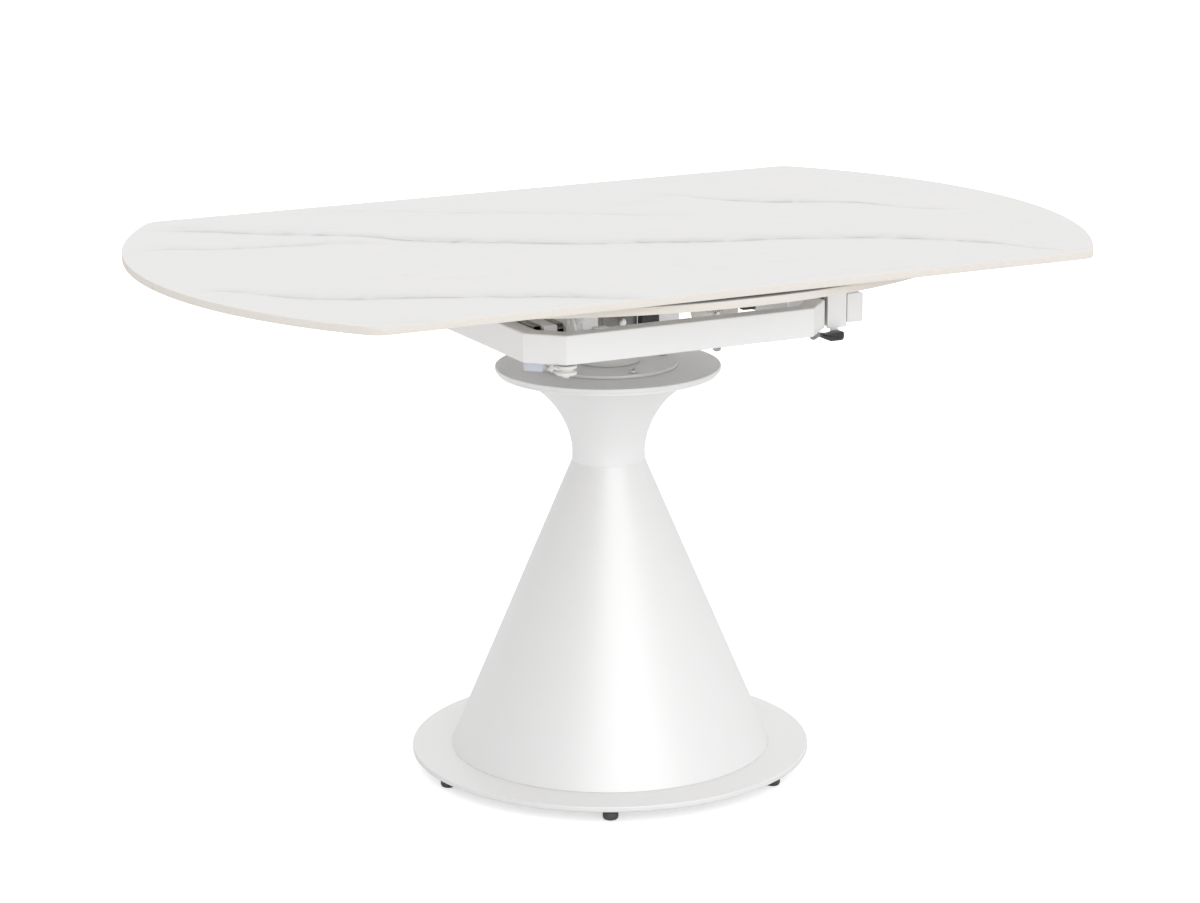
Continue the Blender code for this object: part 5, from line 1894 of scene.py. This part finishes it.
    def pulley(self, node: str) -> Surface:
        """The grooved nylon roller, as the named node.

        Args:
            node: the node it stands for.

        Returns:
            The closed surface.
        """
        low, high = corners(node)
        centre, radius, height = (low + high) / 2, (high[0] - low[0]) / 2, high[2] - low[2]
        bore, groove, wall = self.pulley_bore, self.pulley_groove, height * self.pulley_wall_share
        profile = rounded(
            [(bore, 0), (radius, 0), (radius, wall), (groove, wall * 1.25), (groove, height - wall * 1.25),
             (radius, height - wall), (radius, height), (bore, height)],
            [0.0004, 0.0012, 0.0010, 0.0006, 0.0006, 0.0010, 0.0012, 0.0004],
        )
        return revolved(profile, 72, True).moved((centre[0], centre[1], low[2]))

    def pulley_bolt(self, node: str) -> Surface:
        """The roller's bolt, with its nut, washer and thread end below.

        Args:
            node: the node it stands for.

        Returns:
            The closed surfaces.
        """
        low, high = corners(node)
        centre, radius = (low + high) / 2, (high[0] - low[0]) / 2
        washer_top, washer_radius = low[2] + 0.0045, radius * 0.98
        nut_low, nut_top = low[2] + 0.0009, washer_top - 0.0008
        washer = [(0, nut_top), (washer_radius, nut_top), (washer_radius, washer_top), (0, washer_top)]
        shank = [(0, low[2]), (0.0024, low[2]), (0.003, low[2] + 0.0006), (0.003, high[2]), (0, high[2])]
        shapes = [revolved(washer), revolved(shank), hex_piece(radius * 0.92, nut_low, nut_top)]
        return joined(shapes).moved((centre[0], centre[1], 0))

    def stop_block(self, node: str) -> Surface:
        """The clear moulded block under the frame's cut corner, turned with it.

        Args:
            node: the node it stands for.

        Returns:
            The closed surface.
        """
        low, high = corners(node)
        centre = (low + high) / 2
        half_length, half_width = 0.013, 0.007
        shape = block((-half_length, -half_width, low[2]), (half_length, half_width, high[2]), 0.0012, 0.0018)
        return shape.turned(-math.pi / 4).moved((centre[0], centre[1], 0))

    def cable_clip(self, node: str) -> Surface:
        """A small white strip bent like a flat V, hung under the frame beside the pulley.

        Args:
            node: the pulley's node.

        Returns:
            The closed surface.
        """
        low, high = corners(node)
        x, y, top = low[0] - 0.0065, (low[1] + high[1]) / 2 - 0.004, high[2] + 0.0010
        thick, drop, reach = 0.0009, 0.0058, 0.0055
        end_low, end_high = top - drop, top - drop + thick * 1.4
        outline = rounded(
            [(x - reach, end_low), (x, top - thick), (x + reach, end_low), (x + reach, end_high), (x, top),
             (x - reach, end_high)], 0.0003, 2)
        return lofted([(outline, y - 0.006), (outline, y + 0.006)]).laid(Axis.Y)

    def bumper(self, low: np.ndarray) -> Surface:
        """A short round buffer lying under the frame's near corner.

        Args:
            low: lowest corner of the frame.

        Returns:
            The closed surface.
        """
        radius, length = self.bumper_radius, self.bumper_length
        profile = rounded([(0, 0), (radius, 0), (radius, length), (0, length)], [0, 0.0009, 0.0009, 0])
        lying = revolved(profile, 36).turned(math.pi / 2, "Y").turned(self.bumper_turn)
        return lying.moved((*self.bumper_place, low[2] - radius - 0.0004))

    def lever(self, node: str) -> Surface:
        """The release lever: a thumb tab with a pointed tip, a slightly hollow top and a bellied underside.

        Args:
            node: the node it stands for.

        Returns:
            The closed surface.
        """
        low, high = corners(node)
        height, length = high[2] - low[2], high[0] - low[0]
        outline = rounded(
            [(low[0], high[2] - height * 0.02), (low[0] + length * 0.10, low[2] + height * 0.42),
             (low[0] + length * 0.42, low[2]), (high[0], low[2]), (high[0], high[2]),
             (low[0] + length * 0.72, high[2]), (low[0] + length * 0.38, high[2] - height * 0.16)],
            [0.0009, 0.0035, 0.0065, height * 0.36, height * 0.22, 0.004, 0.010],
        )
        return plate(outline, low[1], high[1], 0.0012).laid(Axis.Y)

    def lever_pin(self, node: str) -> Surface:
        """The lever's pin, with a domed head in front.

        Args:
            node: the node it stands for.

        Returns:
            The closed surface.
        """
        low, high = corners(node)
        head, rise = (high[0] - low[0]) / 2, 0.0012
        length = high[1] - low[1]
        pin = button_head(head, length - rise, length, self.pivot_radius, 0.0)
        pin = pin.turned(math.pi / 2, "X")
        return pin.moved(((low[0] + high[0]) / 2, high[1], (low[2] + high[2]) / 2))

    def build(self, half: Half) -> None:
        """Makes this half's pieces and dresses them.

        Args:
            half: the half they are for.
        """
        body, lever, pulley = (f"{half.value}_{kind}" for kind in ("extension", "lever", "pulley"))
        low, high = corners("front_sliding_frame")
        arms = [f"front_{side}_lift_arm" for side in ("left", "right")]
        boxes = [corners(arm) for arm in arms]
        pivot = np.array((boxes[0][1][1] - self.pivot_inset, boxes[0][0][2] + self.pivot_inset))
        lug_x = [box[0][0] + self.pin_gap + self.lug_sheet / 2 for box in boxes]
        frame_tube = joined([self.frame_tube(low, high)] + [self.lug(x, low, high) for x in lug_x])
        bar_top = low[2] + self.tube_height
        tab = block((low[0] + 0.0915, low[1] + 0.016, bar_top + 0.0002),
                    (low[0] + 0.1135, low[1] + 0.028, bar_top + 0.0015), 0.0005, 0.0012)
        screw = button_head(0.0056, -0.0045, 0.0, 0.0042, -0.0065).turned(np.pi, "X")
        screw = screw.moved((self.bar_screw_x, low[1] + self.tube_width / 2, low[2] - 0.0068))
        make_half(half, [
            ("frame_tube", frame_tube, WHITE_PAINT, body, "sliding_frame"),
            ("left_lifter", self.lift_arm(arms[0], pivot), WHITE_PAINT, body, "left_lift_arm"),
            ("right_lifter", self.lift_arm(arms[1], pivot), WHITE_PAINT, body, "right_lift_arm"),
            ("frame_tab", tab, WHITE_PAINT, body, None),
            ("leaf_strip", self.rail("front_leaf_rail"), ZINC, body, "leaf_rail"),
            ("roller", self.pulley("front_guide_pulley"), NYLON, pulley, "guide_pulley"),
            ("roller_bolt", self.pulley_bolt("front_pulley_bolt"), CHROME, body, "pulley_bolt"),
            ("clear_block", self.stop_block("front_stop_block"), CLEAR_PLASTIC, body, "stop_block"),
            ("cable_clip", self.cable_clip("front_guide_pulley"), WHITE_PAINT, body, None),
            ("corner_buffer", self.bumper(low), SMOKED_PLASTIC, body, None),
            # The bar screw's darker chrome is painted shade.
            ("bar_screw", screw, PAINTED_SHADE_CHROME, body, None),
            ("thumb_lever", self.lever("front_release_lever"), LEVER_PLASTIC, lever, "release_lever"),
            ("lever_bolt", self.lever_pin("front_lever_pin"), LEVER_PLASTIC, FIXED_BODY, "lever_pin"),
        ])


@dataclass
class Studio:
    """A plain white floor under soft light, and the camera."""

    floor_radius: float = 60.0
    floor_rings: int = 40
    floor_steps: int = 64
    camera_place: Vector3 = (-1.995, -3.914, 1.569)
    heading: float = math.radians(26.85)
    tilt: float = math.radians(-14.22)
    roll: float = math.radians(-0.36)
    lens: float = 95.2
    sun_strength: float = 0.80
    sun_spread: float = math.radians(60)
    sun_height: float = math.radians(11)
    sun_heading: float = math.radians(-12)
    sky_low: float = 0.77
    sky_high: float = 1.24
    side_shade: float = 0.28
    floor_glow: float = 0.55

    def floor(self) -> None:
        """Makes the floor: rings whose radius grows as the fourth power, fine near the table."""
        share = np.linspace(0, 1, self.floor_rings) ** 4
        profile = np.stack([share * self.floor_radius, np.zeros(self.floor_rings)], axis=-1)
        mesh = closed_mesh("studio_floor", revolved(profile, self.floor_steps))
        floor = bpy.data.objects.new("studio_floor", mesh)
        bpy.context.scene.collection.objects.link(floor)
        material = bpy.data.materials.new("floor_paper")
        material.use_nodes = True
        nodes = Nodes(material.node_tree)
        shader = material.node_tree.nodes["Principled BSDF"]
        place = nodes.add("TexCoord").outputs["Object"]
        paper = nodes.noise(place, 3.0, 4.0).outputs[0]
        paper = nodes.mix(paper, (0.84, 0.84, 0.84, 1), (0.86, 0.86, 0.86, 1))
        nodes.join(shader.inputs["Base Color"], paper)
        shader.inputs["Roughness"].default_value = 0.9
        shader.inputs["Emission Color"].default_value = (1, 1, 1, 1)
        seen = nodes.add("LightPath").outputs["Is Camera Ray"]
        nodes.join(shader.inputs["Emission Strength"], nodes.math("MULTIPLY", seen, self.floor_glow))
        mesh.materials.append(material)

    def light(self) -> None:
        """Sets a white sky, brighter overhead and dimmer on the left, and a broad low sun from the front."""
        world = bpy.data.worlds.new("white_studio")
        bpy.context.scene.world = world
        world.use_nodes = True
        nodes = Nodes(world.node_tree)
        background = world.node_tree.nodes["Background"]
        background.inputs["Color"].default_value = (1, 1, 1, 1)
        seen = nodes.add("LightPath").outputs["Is Camera Ray"]
        side, _, rise = nodes.add("SeparateXYZ", {0: nodes.add("TexCoord").outputs["Generated"]}).outputs
        upward = {"Value": rise, "To Min": self.sky_low, "To Max": self.sky_high}
        sky = nodes.add("MapRange", upward).outputs[0]
        sky = nodes.math("MULTIPLY_ADD", nodes.math("MINIMUM", side, 0.0), self.side_shade, sky)
        nodes.join(background.inputs["Strength"], nodes.math("MAXIMUM", sky, seen))
        sun = bpy.data.lights.new("soft_sun", "SUN")
        sun.energy, sun.angle = self.sun_strength, self.sun_spread
        lamp = bpy.data.objects.new("soft_sun", sun)
        lamp.rotation_euler = Euler((math.pi / 2 - self.sun_height, 0, self.sun_heading))
        bpy.context.scene.collection.objects.link(lamp)
        bpy.context.scene.view_settings.view_transform = "Standard"

    def camera(self) -> None:
        """Places the camera at its height and heading, with a slight roll about its own axis."""
        data = bpy.data.cameras.new("camera")
        data.lens, data.sensor_width = self.lens, 36.0
        camera = bpy.data.objects.new("camera", data)
        turn = Euler((math.pi / 2 + self.tilt, 0, -self.heading)).to_matrix()
        turn = turn @ Matrix.Rotation(self.roll, 3, "Z")
        camera.matrix_world = Matrix.Translation(self.camera_place) @ turn.to_4x4()
        bpy.context.scene.collection.objects.link(camera)
        bpy.context.scene.camera = camera

    def build(self) -> None:
        """Makes the floor, the light and the camera."""
        self.camera()
        self.floor()
        self.light()


def main() -> None:
    """Builds the studio and then the table, from the top down."""
    logging.basicConfig(level=logging.INFO, format="%(name)s: %(message)s")
    Studio().build()
    StoneTop().build()
    Pedestal().build()
    Head().build()
    for half in Half:
        Slides().build(half)
        LockGear().build(half)
        Extension().build(half)


if __name__ == "__main__":
    main()
